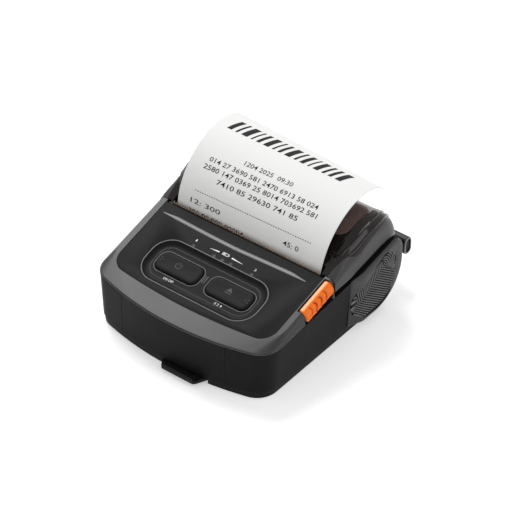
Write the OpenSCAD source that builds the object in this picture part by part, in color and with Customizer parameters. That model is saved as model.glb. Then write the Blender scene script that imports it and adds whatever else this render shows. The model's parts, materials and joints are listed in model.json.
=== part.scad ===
// Portable receipt printer for 80 mm paper, worn on a belt or a strap.
// X runs across the paper, the front is at -Y and Z is up from the surface it stands on.

/* [Case] */
// Room beside the paper, up to the side of the case at its seam
side_room = 9.4; // [9.3:0.05:9.8]
// How far the case draws in from the seam to its lower edge, each side
case_taper = 1.85; // [1.4:0.05:2.2]
// Room between the battery pack and the origin, for the contacts and the print head
front_room = 16.5; // [14.9:0.1:17.7]
// Radius of the bowed front, seen from above
bow_r = 150; // [120:5:200]
// Radius of the two front corners, seen from above
corner_r = 11; // [8:0.5:12]
// Height of the case's lower edge above the ground
base_z = 3.6; // [3.4:0.1:4]
// Wall of the case and the bezel
wall = 2; // [1.6:0.1:2.2]
// Height of the seam above the origin, at the case's middle line
seam_z = 29.28; // [28.9:0.02:29.4]
// Rise of the seam towards the rear, in degrees
seam_tilt = 5.2; // [4.6:0.1:5.6]
// Width of the open seam between the case and the bezel
seam_gap = 0.5; // [0.3:0.1:0.7]
// Thickness of the base plate
base_t = 3.3; // [3:0.1:3.4]
// Inset of the base plate from the lower edge of the case
base_inset = 0.6; // [0.4:0.2:3]
// Diameter of a rubber foot
foot_d = 9; // [7:0.5:10]

/* [Control panel] */
// Height of the panel's plane above the origin
panel_z = 39.5; // [39.2:0.1:40]
// Slope of the panel, in degrees
panel_tilt = 15.1; // [14.5:0.1:15.5]
// Width of the bezel's band beside the panel
panel_side = 5.35; // [5.3:0.05:6.4]
// Radius of the panel's bowed front edge
panel_bow = 280; // [150:10:400]
// Width of the bezel's band in front of the panel
bezel_band = 10.4; // [9:0.2:12]
// Thickness of the panel
panel_t = 2; // [1.8:0.1:2.2]
// Distance of the buttons and lights from the middle of the panel
controls_x = -1.3; // [-2:0.1:0]
// Length of the button recess
recess_l = 61.6; // [60:0.2:64]
// Height of the button recess, along the slope
recess_h = 23.2; // [22:0.2:24]
// Width of the step inside the recess
recess_step = 2.2; // [1.6:0.1:2.6]
// Distance of the recess, at its middle, from the front edge of the panel
recess_in = 16.6; // [16:0.1:17.5]
// Depth of the button recess
recess_d = 1; // [0.7:0.1:1.2]
// Length of a button
button_l = 23.4; // [21:0.1:25]
// Height of a button, along the slope
button_h = 10.4; // [9:0.2:12]
// Distance between the two buttons' middles
button_pitch = 28.2; // [27:0.1:29]
// Travel of a button
button_travel = 0.8; // [0.5:0.1:1]
// Gap round a button
button_gap = 0.3; // [0.2:0.05:0.5]
// Diameter of a status light
led_d = 1.7; // [1.4:0.1:2]
// Distance between the middle three lights
led_pitch = 4.65; // [4:0.05:5.5]
// Distance of the two outer lights from the middle
led_far = 16.3; // [14:0.1:18]
// Distance of the lights from the middle of the recess, towards the rear
led_up = 13; // [12.6:0.1:13.4]

/* [Paper] */
// Width of the paper
paper_w = 79.5; // [78:0.1:80]
// Thickness of the modelled paper
paper_t = 0.2; // [0.15:0.05:0.25]
// Radius of the roll in the bucket
roll_r = 17.8; // [14:0.2:17.8]
// Radius of the roll's cardboard core
core_r = 6.4; // [5.5:0.1:7]
// Thickness of the core
core_t = 1.2; // [1:0.1:1.6]
// Position of the roll bucket's middle behind the origin
bucket_y = 26.2; // [26:0.1:26.4]
// Radius of the roll bucket's outer wall
bucket_r = 20.4; // [20.2:0.1:20.8]
// Radius of the receipt's curl
curl_r = 29.7; // [26:0.1:31]
// Length of the receipt above the print head
receipt_l = 70; // [30:1:72]
// Lean of the receipt's curl to the right, in degrees
curl_lean = 3.4; // [0:0.1:4]

/* [Print mechanism] */
// Radius of the platen roller
platen_r = 4; // [3.6:0.1:4.2]
// Radius of the platen's steel shaft
shaft_r = 1.5; // [1.2:0.1:1.8]
// Height of the platen's axis
platen_z = 32.5; // [32:0.1:33]
// Gap between the paper and what it passes
paper_gap = 0.15; // [0.1:0.05:0.2]
// Radial running clearance of a shaft in its bore
run_gap = 0.05; // [0.02:0.01:0.08]
// Tooth size of the gears, as pitch diameter over teeth
gear_mod = 0.6; // [0.58:0.01:0.6]
// Teeth of the platen gear
platen_teeth = 16; // [15:1:16]
// Teeth of the idler gear
idler_teeth = 24; // [22:1:24]
// Teeth of the motor pinion
pinion_teeth = 12; // [11:1:12]
// Thickness of the gears
gear_t = 2; // [1.6:0.1:2.2]
// Radius of the feed motor
motor_r = 7; // [6:0.1:7.2]
// Length of the feed motor
motor_l = 14; // [12:0.5:18]
// Number of teeth on the tear bar
tear_teeth = 64; // [50:1:80]
// Height of a tooth on the tear bar
tear_tooth = 0.9; // [0.7:0.1:1.1]

/* [Paper cover] */
// Radius of the cover over the roll
cover_r = 20; // [19.8:0.1:20.4]
// Height of the middle of the cover's round part
cover_z = 32.6; // [32.4:0.1:33]
// Slope of the cover between the slot and the round part, in degrees
cover_tilt = 30; // [29:0.5:31]
// Thickness of the smoked shell
cover_t = 1.8; // [1.5:0.1:2]
// Thickness of the black inner frame
inner_t = 1.4; // [1.2:0.1:1.6]
// Width of the cover's shoulder, beside its full-height middle part
shoulder = 7.15; // [6.2:0.05:8]
// How much wider the window is than the paper, each side
window_out = 1.55; // [0.1:0.05:1.8]
// Radius of a hinge knuckle
knuckle_r = 2.4; // [2.2:0.1:2.6]
// Radius of the hinge pin
hinge_pin_r = 1; // [0.8:0.05:1.2]
// Height of the cover's hinge
hinge_z = 28; // [27.5:0.1:28.5]

/* [Side caps] */
// How far a side cap stands out from the case at its seam
cap_out = 2.15; // [1.8:0.05:2.6]
// Distance of the caps' front edge behind the origin
cap_front = 9.7; // [9:0.1:11]
// Depth of the flat seat behind a side cap, from the side of the case
cap_seat = 2.15; // [2.05:0.05:2.4]
// Highest point of the case behind the caps
cap_top = 36.2; // [35.6:0.1:36.6]

/* [Release lever] */
// Length of the lever
lever_l = 18.6; // [17:0.2:19]
// Thickness of the lever at its outer side
lever_t = 4.4; // [4:0.1:5]
// Radius of the latch shaft
latch_r = 1.2; // [1:0.05:1.4]
// Height of the latch shaft
latch_z = 28.6; // [28.4:0.1:29]

/* [Battery] */
// How much narrower the battery pack is than the paper, each side
battery_in = 11.15; // [10.8:0.05:12.6]
// Length of the pack behind its front face
battery_l = 34.5; // [32:0.5:35]
// Height of the pack behind its front face
battery_h = 15.4; // [14:0.2:15.6]
// Gap round the battery pack
battery_gap = 0.3; // [0.2:0.05:0.4]

/* [Belt clip and strap bar] */
// How far the belt clip reaches in front of the case
clip_out = 4; // [3.4:0.1:4.6]
// Distance of the strap bar's middle behind the case
bar_out = 10.5; // [9.6:0.1:11.4]
// Room between the end of the belt clip and a rear screw post
clip_room = 4.4; // [3.4:0.1:6.4]
// Distance of the belt clip from the middle
clip_x = 7.6; // [4:0.1:9]
// Thickness of the belt clip
clip_t = 1.5; // [1.3:0.1:1.6]
// Position of the clip's pin behind the origin
clip_y = 14; // [12:0.5:16]
// Height of the strap bar's middle
bar_z = 19.6; // [17:0.1:20]
// Height of the strap bar
bar_h = 9; // [8:0.1:9.4]
// Depth of the strap bar
bar_d = 5.4; // [5:0.1:5.6]
// How much the strap bar stops short of the side of the case
bar_in = 3.15; // [2.2:0.05:9]

/* [Ports] */
// Length of the rubber port cover
port_l = 24; // [22:0.5:26]
// Height of the rubber port cover
port_h = 8; // [7.4:0.1:8.4]

/* [Hidden] */

fine = 64;
tiny = 0.01;
seat = 0.3;
roll_gap = 0.3;

function seam_at(y) = seam_z + y * tan(seam_tilt);
function panel_at(y) = panel_z + y * tan(panel_tilt);
function arc(c, r, a0, a1, n) = [for (i = [0:n]) let (a = a0 + (a1 - a0) * i / n) c + r * [cos(a), sin(a)]];

// Outline seen from above: bowed front, round corners, square rear
function plan(w, front, rear, rc, br = bow_r) =
  let (h = w / 2, bow = [0, br - front], cx = h - rc,
       cy = bow[1] - sqrt(pow(br - rc, 2) - cx * cx), a = atan2(cy - bow[1], cx))
  concat(arc(bow, br, -180 - a, a, 14), arc([cx, cy], rc, a, 0, 8), [[h, rear], [-h, rear]],
         arc([-cx, cy], rc, -180, -180 - a, 8));

// The same outline laid out along the slope of the panel
function sloped(points) = [for (p = points) [p[0], p[1] / cos(panel_tilt)]];

// Widths, all from the paper
half_paper = paper_w / 2;
case_w = paper_w + 2 * side_room;
foot_w = case_w - 2 * case_taper;
seat_w = case_w - 2 * cap_seat;
cap_over = case_w + 2 * cap_out;
panel_w = case_w - 2 * panel_side;
cover_flat = case_w / 2 - shoulder;
window_half = half_paper + window_out;
battery_w = paper_w - 2 * battery_in;
battery_bow = bow_r - sqrt(bow_r * bow_r - battery_w * battery_w / 4);
battery_front_t = wall + battery_bow + 0.05;
case_front = battery_front_t + battery_l + front_room;
bar_l = case_w - 2 * bar_in;

// Case
floor_z = base_z + wall;
flare = (case_w - foot_w) / 2 / (seam_at(0) - base_z);
top_z = panel_z + 1.5;
bezel_end = -2;
split_y = bezel_end + seam_gap;
bucket_z = base_z + bucket_r;
bay_r = bucket_r - wall;
roll_z = floor_z + roll_gap + roll_r;
case_rear = bucket_y + bucket_r;
cap_y = case_rear - 7.8;
cap_corner = 7.2;
bay_half = half_paper + 1;
bay_wall = 1.2;

// Mechanism
paper_y = -0.5;
platen_y = paper_y + paper_t / 2 + paper_gap + platen_r;
head_y = paper_y - paper_t / 2 - paper_gap;
head_t = 1;
sink_t = 3;
sink_y = head_y - head_t - 0.05;
frame_t = 1.2;
frame_y = sink_y - sink_t - 4;
post_h = 7;
cheek_x = half_paper + 2.45;
gear_x = cheek_x + 0.8;
pitch_platen = gear_mod * platen_teeth / 2;
pitch_idler = gear_mod * idler_teeth / 2;
pitch_pinion = gear_mod * pinion_teeth / 2;
mesh_gap = 0.1;
idler_dir = [-0.154, -0.988];
idler_at = [platen_y, platen_z] + (pitch_platen + pitch_idler + mesh_gap) * idler_dir;
pinion_dir = [-0.77, -0.638];
pinion_at = idler_at + (pitch_idler + pitch_pinion + mesh_gap) * pinion_dir;

// Cover
cover_y = case_rear - 19.1;
hinge_y = case_rear + 1.9;
lip_y = paper_y + paper_t / 2 + 2.2;
cover_gap = 2.6;

// Battery bay
battery_z = floor_z + battery_gap;
battery_body_y = -case_front + battery_front_t;
battery_rear = battery_body_y + battery_l;
bay_roof = battery_z + battery_h + battery_gap;
roof_t = 0.9;
board_t = 1.2;
board_z = bay_roof + roof_t + 0.6;
board_front = -case_front + 15.8;
board_rear = frame_y - frame_t - 0.5;

// Clip and bar
clip_z = base_z - clip_t / 2 - 0.3;
clip_tip = -case_front - clip_out;
rear_post_x = half_paper - 15.75;
clip_w = 2 * (rear_post_x - clip_room - clip_x);
bar_y = case_rear + bar_out;

// Lever
lever_half = lever_l / 2;
lever_y = -12.8;
latch_y = lever_y - lever_half + 3;
pocket_x = half_paper + 3.85;
lever_in = half_paper + 5.15;
lever_out = case_w / 2 + 0.9;
arm_x = half_paper + 1.85;
post_x = half_paper - 1.15;

// Solids placed on the sloping panel, with Z along its normal
module on_panel() {
  translate([0, 0, panel_z]) rotate([panel_tilt, 0, 0]) children();
}

// Flat outline lifted onto a slope
module slab(points, z0, slope) {
  multmatrix([[1, 0, 0, 0], [0, 1, 0, 0], [0, tan(slope), 1, z0], [0, 0, 0, 1]])
    linear_extrude(tiny) polygon(points);
}

// Side view outline drawn through the object along X, between x0 and x1
module along_x(points, x0, x1) {
  translate([x0, 0, 0]) rotate([90, 0, 90]) linear_extrude(x1 - x0) polygon(points);
}

// Round bar or bore along X
module rod_x(y, z, r, x0, x1) {
  translate([x0, y, z]) rotate([0, 90, 0]) cylinder(h = x1 - x0, r = r, $fn = fine);
}

module pill(l, h, r, t) {
  linear_extrude(t) hull() for (sx = [-1, 1], sy = [-1, 1])
    translate([sx * (l / 2 - r), sy * (h / 2 - r)]) circle(r, $fn = 32);
}

module mirror_x() {
  children();
  mirror([1, 0, 0]) children();
}

// The web leaves the roll low at its front and rises to the platen's underside
web_end = [platen_y - 1.2, platen_z - platen_r - 0.6];
web_vec = [bucket_y, roll_z] - web_end;
web_far = norm(web_vec);
web_turn = asin((roll_r + roll_gap) / web_far);
web_len = sqrt(web_far * web_far - pow(roll_r + roll_gap, 2));
web_heading = atan2(web_vec[1], web_vec[0]) - web_turn;
web_dir = [cos(web_heading), sin(web_heading)];
web_out = [web_dir[1], -web_dir[0]];

// Point at a gap in front of the web, at a distance along it from where it meets the roll
function web_side(gap, along) =
  [bucket_y, roll_z] + (roll_r + roll_gap + paper_t + gap) * web_out + along * web_dir;

// Side view of the case, from its front to the roll bucket
case_side = concat(
  [[-case_front - 2, base_z], [-case_front - 2, seam_at(-case_front - 2)], [cap_front, seam_at(cap_front)],
   [cap_y, cap_top]],
  arc([case_rear - cap_corner, cap_top - cap_corner], cap_corner, 85, 0, 8),
  arc([bucket_y, bucket_z], bucket_r, 0, -90, 16));

// Side view of the roll bucket, open upwards and towards the slot
bay_side = concat(arc([bucket_y, bucket_z], bay_r, 0, -118, 20),
  [web_side(0.7, 4), web_side(0.7, -13), [platen_y - 2.6, platen_z - 6.4], [platen_y - 2.6, top_z + 5],
   [case_rear - wall, top_z + 5]]);

// Side view of the space for the board, the battery and the mechanism
front_side = concat(
  [[-case_front - 1, floor_z], [-case_front - 1, top_z], [platen_y - 2.6 - bay_wall, top_z],
   [platen_y - 2.6 - bay_wall, platen_z - 6.8]],
  [web_side(0.7 + bay_wall, -13.4), web_side(0.7 + bay_wall, 4.6)],
  arc([bucket_y, bucket_z], bay_r + bay_wall, -122, -118, 1), [[bucket_y - 10.8, floor_z]]);

module case_block(inset) {
  hull() {
    slab(plan(foot_w - 2 * inset, case_front - inset, case_rear - inset, corner_r - inset), base_z, 0);
    slab(plan(foot_w - 2 * inset + 2 * flare * (top_z - base_z), case_front - inset, case_rear - inset,
              corner_r - inset), top_z, 0);
  }
}

module cap_outline(inset) {
  polygon(concat(
    [[cap_front + inset, base_z + 0.8 + inset], [cap_front + inset, seam_at(cap_front) - inset],
     [cap_y, cap_top - inset]],
    arc([case_rear - cap_corner, cap_top - cap_corner], cap_corner - inset, 85, 0, 8),
    arc([bucket_y, bucket_z], bucket_r - inset, 0, -90, 16), [[cap_front + 1 + inset, base_z + inset]]));
}

module lower_case() {
  color([0.12, 0.12, 0.13]) difference() {
    intersection() {
      case_block(0);
      along_x(case_side, -case_w, case_w);
    }
    intersection() {
      case_block(wall);
      along_x(front_side, -case_w, case_w);
    }
    along_x(bay_side, -bay_half, bay_half);
    mirror_x() {
      // Flat seat and hollow behind each side cap
      translate([seat_w / 2, cap_front - 0.3, 0]) cube([10, 60, 60]);
      rod_x(bucket_y, bucket_z, bay_r - 2, bay_half + bay_wall, seat_w / 2 + 1);
    }
    // Hollow for the gears on the left, and room for the cover's cheeks
    translate([-seat_w / 2 + wall, -14, floor_z + 4.4])
      cube([seat_w / 2 - wall - cheek_x, idler_at[0] + pitch_idler + 15, 40]);
    rod_x(idler_at[0], idler_at[1], 1, -gear_x, -cheek_x + 1);
    mirror_x() translate([bay_half - 1, platen_y - 4.6, platen_z - 4.1])
      cube([cheek_x - bay_half + 2.2, 13, 20]);
    // Front opening for the battery pack's face
    translate([-battery_w / 2 - battery_gap, -case_front - 5, 0])
      cube([battery_w + 2 * battery_gap, 5 + battery_front_t + 0.2, 60]);
    // Sockets and recess for the port cover on the left
    port_cut();
    // Pockets for the cover's knuckles and the belt clip's barrel
    for (s = cover_knuckles) rod_x(hinge_y, hinge_z, knuckle_r + 0.4, s[0] - 0.3, s[1] + 0.3);
    translate([clip_x - clip_w / 2 - 0.3, clip_y - 2.6, base_z - 1]) cube([clip_w + 0.6, 5.2, 2.2]);
    rod_x(clip_y, clip_z, 0.85, clip_x - clip_w / 2 - 4, clip_x + clip_w / 2 + 4);
    for (p = screw_spots) translate([p[0], p[1], base_z - 1]) cylinder(h = 12, r = 1, $fn = fine);
    for (p = lever_post_spots) rod_x(latch_y, latch_z, latch_r + run_gap, p - 2, p + 2);
  }
  color([0.12, 0.12, 0.13]) {
    seam_lip();
    case_ribs();
    for (s = case_knuckles) knuckle(s[0], s[1], case_web);
  }
}

// Rim inside the open seam: it closes the view under the bezel and the cover's front
module seam_lip() {
  reach = 3.2;
  difference() {
    intersection() {
      difference() {
        case_block(wall - 0.1);
        case_block(wall + 1.1);
      }
      along_x([[-80, seam_at(-80) - 2.2], [cap_front - 0.3, seam_at(cap_front) - 2.2],
        [cap_front - 0.3, seam_at(cap_front) + reach], [split_y, seam_at(split_y) + reach],
        [split_y, seam_at(split_y) + 1.4], [-80, seam_at(-80) + 1.4]], -60, 60);
    }
    // Free of the walls above the seam
    difference() {
      along_x([[-80, seam_at(-80) - 0.4], [30, seam_at(30) - 0.4], [30, 60], [-80, 60]], -60, 60);
      bezel_block(wall + seat, 6);
      intersection() {
        case_block(wall + seat);
        translate([-60, bezel_end, 0]) cube([120, 60, 60]);
      }
    }
    translate([-battery_w / 2 - battery_gap, -80, 0])
      cube([battery_w + 2 * battery_gap, 80 + battery_body_y, 60]);
    lever_pocket();
  }
}

// Tall posts inside the case: for the latch shaft, the board and the case screws
screw_spots = [for (x = [-1, 1] * (half_paper - 4.75)) [x, -case_front + 13.8],
  for (x = [-1, 1] * rear_post_x) [x, -6.6]];
board_spots = [for (x = [-1, 1] * (half_paper - 5.25)) [x, board_front + 4.5],
  for (x = [-1, 1] * rear_post_x) [x, battery_rear + 2]];
lever_post_spots = [-post_x, post_x];

module case_ribs() {
  for (p = lever_post_spots) difference() {
    translate([p - 1.2, latch_y - 3, floor_z - tiny]) cube([2.4, 6, latch_z + 2.4 - floor_z]);
    rod_x(latch_y, latch_z, latch_r + run_gap, p - 2, p + 2);
  }
  for (p = board_spots) translate([p[0], p[1], floor_z - tiny]) difference() {
    cylinder(h = board_z - floor_z, r = 2, $fn = fine);
    translate([0, 0, board_z - floor_z - 5]) cylinder(h = 6, r = 0.7, $fn = fine);
  }
  for (p = screw_spots) difference() {
    translate([p[0], p[1], floor_z - tiny]) cylinder(h = post_h + tiny, r = 2.4, $fn = fine);
    translate([p[0], p[1], base_z - 1]) cylinder(h = 12, r = 1, $fn = fine);
  }
  // Black floor and back of the lever's pocket
  difference() {
    union() {
      along_x([for (k = [[-1, -1.6], [1, -1.6], [1, -0.2], [-1, -0.2]])
        let (y = lever_y + k[0] * (lever_half + 0.9)) [y, seam_at(y) + k[1]]], pocket_x, case_w / 2 - 1.2);
      along_x([for (k = [[-1, 0], [1, 0], [1, 1], [-1, 1]]) let (y = lever_y + k[0] * (lever_half + 0.9))
        [y, k[1] == 0 ? seam_at(y) - 1.6 : panel_at(y) - panel_t - 1.2]], pocket_x, pocket_x + 0.9);
    }
    rod_x(latch_y, latch_z, latch_r + 0.2, pocket_x - 1, pocket_x + 2);
    rod_x(latch_y, latch_z, 3.2, lever_in - 0.3, lever_in + 2.3);
  }
  // Roof and side walls of the battery bay
  difference() {
    translate([-battery_w / 2 - battery_gap - 1, battery_body_y, floor_z - tiny])
      cube([battery_w + 2 * battery_gap + 2, battery_l + battery_gap + 1,
            bay_roof + roof_t - floor_z + tiny]);
    translate([-battery_w / 2 - battery_gap, battery_body_y - 1, floor_z - 1])
      cube([battery_w + 2 * battery_gap, battery_l + battery_gap + 1, bay_roof - floor_z + 1]);
    translate([-12, battery_rear - 1, floor_z + 4]) cube([24, 6, 6]);
  }
}

// Hinge knuckle between x0 and x1, with a web of the given side view
module knuckle(x0, x1, web) {
  difference() {
    union() {
      rod_x(hinge_y, hinge_z, knuckle_r, x0, x1);
      along_x(web, x0, x1);
    }
    rod_x(hinge_y, hinge_z, hinge_pin_r + run_gap, x0 - 1, x1 + 1);
  }
}
case_web = [[hinge_y, hinge_z], [case_rear - 1, hinge_z], [case_rear - 1, hinge_z - 5],
  [hinge_y, hinge_z - 1.6]];
cover_web = [[hinge_y - 1.5, hinge_z], [hinge_y + 1.9, hinge_z], [hinge_y - 0.6, hinge_z + 5.6],
  [hinge_y - 1.5, hinge_z + 5.6]];
// Seven knuckles in a row: those of the case at the ends, those of the cover between them
hinge_end = half_paper + 0.25;
hinge_step = hinge_end / 5;
case_knuckles = [for (k = [[-5, -4], [-2.5, -1], [1, 2.5], [4, 5]]) k * hinge_step];
cover_knuckles = [for (k = [[-4, -2.5], [-1, 1], [2.5, 4]]) k * hinge_step + [0.3, -0.3]];

module base_plate() {
  color([0.08, 0.08, 0.085]) difference() {
    translate([0, 0, base_z - base_t]) linear_extrude(base_t)
      polygon(plan(foot_w - 2 * base_inset, case_front - base_inset, bucket_y + 2, corner_r - base_inset));
    // Channel for the belt clip
    translate([clip_x - clip_w / 2 - 0.4, -case_front - 1, 0])
      cube([clip_w + 0.8, case_front + 1 + clip_y + 3, 9]);
    rod_x(clip_y, clip_z, 0.85, clip_x - clip_w / 2 - 4, clip_x + clip_w / 2 + 4);
    for (p = foot_spots) translate([p[0], p[1], 0]) cylinder(h = foot_h, r = foot_d / 2 + 0.1, $fn = fine);
    for (p = screw_spots) translate([p[0], p[1], 0]) {
      cylinder(h = 9, r = 1.1, $fn = fine);
      cylinder(h = base_z - 0.7, r = screw_head_r + 0.2, $fn = fine);
    }
  }
}

foot_h = base_z - base_t + 0.5;
foot_spots = [for (x = [-1, 1] * (half_paper - 5.75), y = [-case_front + 25.8, bucket_y - 6.2]) [x, y]];

module feet() {
  color([0.1, 0.1, 0.1]) for (p = foot_spots) translate([p[0], p[1], 0])
    cylinder(h = foot_h, r = foot_d / 2, $fn = fine);
}

screw_head_r = 1.8;

module case_screws() {
  color([0.6, 0.6, 0.62]) for (p = screw_spots) translate([p[0], p[1], base_z - 1.7]) {
    cylinder(h = 1, r = screw_head_r, $fn = fine);
    cylinder(h = 8, r = 0.95, $fn = fine);
  }
}

// Solid under the bezel's surface: from the seam up to the panel's plane
module bezel_block(inset, low) {
  hull() {
    slab(plan(case_w - 2 * inset, case_front - inset, bezel_end, corner_r - inset),
         seam_at(0) + seam_gap - low, seam_tilt);
    slab(plan(case_w - 1 - 2 * inset, case_front - 0.6 - inset, bezel_end, corner_r - inset),
         seam_at(0) + seam_gap + 0.8 - inset, seam_tilt);
    slab(plan(case_w - 2 - 2 * inset, case_front - 6 - inset, bezel_end, corner_r - inset),
         panel_z - 1.6 - inset, panel_tilt);
    slab(plan(case_w - 5.2 - 2 * inset, case_front - 7.5 - inset, bezel_end, corner_r - inset),
         panel_z - inset, panel_tilt);
  }
}

panel_rear = sink_y - 0.6 - panel_t * sin(panel_tilt) - seat;
panel_r = 8;
panel_plan = sloped(plan(panel_w, case_front - bezel_band, panel_rear, panel_r, panel_bow));
panel_hole = sloped(plan(panel_w + 0.3, case_front - bezel_band + 0.15, 30, panel_r + 0.15, panel_bow));

module top_bezel() {
  color([0.42, 0.43, 0.44]) difference() {
    intersection() {
      bezel_block(0, 0);
      along_x([[-80, seam_at(-80) + seam_gap], [20, seam_at(20) + seam_gap], [20, 80], [-80, 80]], -60, 60);
    }
    difference() {
      bezel_block(wall, 6);
      // Ledge that carries the panel, in front of the latch
      intersection() {
        on_panel() translate([0, 0, -panel_t - 1.4]) linear_extrude(1.2)
          polygon(sloped(plan(panel_w + 8, case_front - bezel_band + 4, 30, panel_r + 2, panel_bow)));
        translate([-60, -60, 0]) cube([120, 60 + latch_y - 4.4, 60]);
      }
    }
    on_panel() translate([0, 0, -panel_t - 0.2]) linear_extrude(20) polygon(panel_hole);
    on_panel() translate([0, 0, -20]) linear_extrude(40)
      polygon(sloped(plan(panel_w - 3, case_front - bezel_band - 1.5, 30, panel_r - 1, panel_bow)));
    // Rear end cut square for the cover
    translate([-80, bezel_end, 0]) cube([160, 40, 80]);
    lever_pocket();
  }
}

module lever_pocket() {
  translate([lever_in - 0.4, lever_y - lever_half - 0.7, latch_z - 5]) cube([20, lever_l + 1.1, 30]);
}

// Local places of the buttons and lights on the panel
recess_v = (bezel_band - case_front) / cos(panel_tilt) + recess_in;
button_spots = [for (s = [-1, 1]) [controls_x + s * button_pitch / 2, recess_v]];
led_spots = [for (x = [-led_far, -led_pitch, 0, led_pitch, led_far]) [controls_x + x, recess_v + led_up]];

module control_panel() {
  color([0.16, 0.16, 0.17]) on_panel() difference() {
    translate([0, 0, -panel_t]) linear_extrude(panel_t) polygon(panel_plan);
    // Stepped recess round the buttons
    translate([controls_x, recess_v, -recess_d / 2]) pill(recess_l, recess_h, recess_h / 2 - 2.6, 4);
    translate([controls_x, recess_v, -recess_d])
      pill(recess_l - 2 * recess_step, recess_h - 2 * recess_step, recess_h / 2 - 2.6 - recess_step, 4);
    for (p = button_spots) translate([p[0], p[1], -panel_t - 1])
      pill(button_l + 2 * button_gap, button_h + 2 * button_gap, 3.6 + button_gap, 4);
    for (p = led_spots) translate([p[0], p[1], -panel_t - 1])
      cylinder(h = 4, r = led_d / 2 + 0.05, $fn = fine);
  }
}

module led_lenses() {
  color([0.35, 0.35, 0.36]) on_panel() for (p = led_spots) translate([p[0], p[1], -panel_t - 0.8]) {
    cylinder(h = panel_t + 0.7, r = led_d / 2, $fn = fine);
    cylinder(h = 0.6, r = led_d / 2 + 0.5, $fn = fine);
  }
}

module button(p) {
  color([0.11, 0.11, 0.12]) on_panel() translate([p[0], p[1], 0]) {
    translate([0, 0, -panel_t - 0.4]) pill(button_l, button_h, 3.6, panel_t + 0.5);
    // Flange under the panel and stem above the switch
    translate([0, 0, -panel_t - 0.2 - 0.9]) pill(button_l + 1.6, button_h + 1.6, 4.4, 0.9);
    translate([0, 0, -panel_t - 1.8]) cylinder(h = 1, r = 1.6, $fn = fine);
  }
}

module power_button() button(button_spots[0]);
module feed_button() button(button_spots[1]);

module tear_bar() {
  half = half_paper + 1.4;
  step = half / tear_teeth;
  top = panel_at(sink_y) + 0.5;
  color([0.62, 0.58, 0.52]) translate([0, sink_y - 0.1, 0]) rotate([90, 0, 0]) linear_extrude(0.5)
    polygon(concat([[half, platen_z + 3.3], [-half, platen_z + 3.3]],
      [for (i = [0:tear_teeth * 2]) [-half + i * step, top - (i % 2 == 0 ? tear_tooth : 0)]]));
}

spring_x = 24;

module mech_frame() {
  color([0.55, 0.56, 0.57]) {
    difference() {
      union() {
        translate([-cheek_x + 1, frame_y - frame_t, floor_z + post_h])
          cube([2 * cheek_x - 2, frame_t, platen_z - floor_z - post_h + 1]);
        // Feet on the two posts
        mirror_x() translate([rear_post_x - 2.4, frame_y - frame_t, floor_z + post_h]) cube([4.8, 6, 1.2]);
      }
      // Room for the motor and the springs' ends
      translate([-60, frame_y - 3, 0]) cube([60 - cheek_x + motor_l + 1.8, 9, pinion_at[1] + motor_r + 0.6]);
      for (s = [-1, 1]) translate([s * spring_x, frame_y + 1, platen_z - 1.5]) rotate([90, 0, 0])
        cylinder(h = 4, r = 0.85, $fn = fine);
    }
    // Left cheek, which carries the motor
    difference() {
      along_x([[pinion_at[0] - motor_r, floor_z + 0.6], [pinion_at[0] - motor_r, platen_z - 11.5],
               [frame_y - frame_t, platen_z - 7.5], [platen_y - 4.2, platen_z - 7.5],
               [platen_y - 4.2, floor_z + 0.6]], -cheek_x, -cheek_x + 1.1);
      rod_x(pinion_at[0], pinion_at[1], 1.6, -60, 0);
    }
  }
}

module print_head() {
  color([0.75, 0.72, 0.66]) translate([-half_paper - 0.8, head_y - head_t, platen_z - 5])
    cube([paper_w + 1.6, head_t, 8]);
}

module head_heatsink() {
  color([0.72, 0.73, 0.75]) difference() {
    translate([-paper_w / 2 - 1, sink_y - sink_t, platen_z - 10]) cube([paper_w + 2, sink_t, 13.2]);
    for (x = [-32:4:32]) translate([x - 0.7, sink_y - sink_t - 1, platen_z - 11]) cube([1.4, 2.6, 7]);
  }
}

module head_springs() {
  color([0.8, 0.8, 0.82]) for (s = [-1, 1])
    translate([s * spring_x, frame_y + 0.05, platen_z - 1.5]) rotate([-90, 0, 0]) difference() {
      cylinder(h = 3.9, r = 2, $fn = fine);
      translate([0, 0, -1]) cylinder(h = 6, r = 1.4, $fn = fine);
    }
}

module feed_motor() {
  color([0.7, 0.7, 0.72]) {
    difference() {
      union() {
        rod_x(pinion_at[0], pinion_at[1], motor_r, -cheek_x + 1.1, -cheek_x + 1.1 + motor_l);
        rod_x(pinion_at[0], pinion_at[1], 1.4, -cheek_x - 0.3, -cheek_x + 2);
      }
      rod_x(pinion_at[0], pinion_at[1], 0.6 + run_gap, -cheek_x - 1, -cheek_x + 6);
    }
  }
}

// Spur gear along -X from x0, teeth standing at the angle a of the side view
module gear(at, teeth, bore, a) {
  r = gear_mod * teeth / 2;
  step = 360 / teeth;
  half = step / 4 * 0.8;
  translate([-gear_x - gear_t, at[0], at[1]]) rotate([90, 0, 90]) linear_extrude(gear_t) difference() {
    polygon([for (i = [0:teeth - 1], k = [0:3])
      let (b = a + i * step, off = [-1.3, -0.55, 0.55, 1.3][k] * half,
           rad = k == 0 || k == 3 ? r - 1.2 * gear_mod : r + 0.75 * gear_mod)
      rad * [cos(b + off), sin(b + off)]]);
    circle(bore, $fn = fine);
  }
}

idler_angle = atan2(-idler_dir[1], -idler_dir[0]);
pinion_angle = atan2(pinion_dir[1], pinion_dir[0]);
idler_phase = idler_angle;
platen_phase = idler_angle + 180 + 180 / platen_teeth;
// The idler's teeth repeat at every step, so the pinion's gap faces the nearest one
idler_step = 360 / idler_teeth;
idler_off = (pinion_angle - idler_phase) - idler_step * round((pinion_angle - idler_phase) / idler_step);
pinion_phase = pinion_angle + 180 + 180 / pinion_teeth + idler_off * idler_teeth / pinion_teeth;

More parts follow.
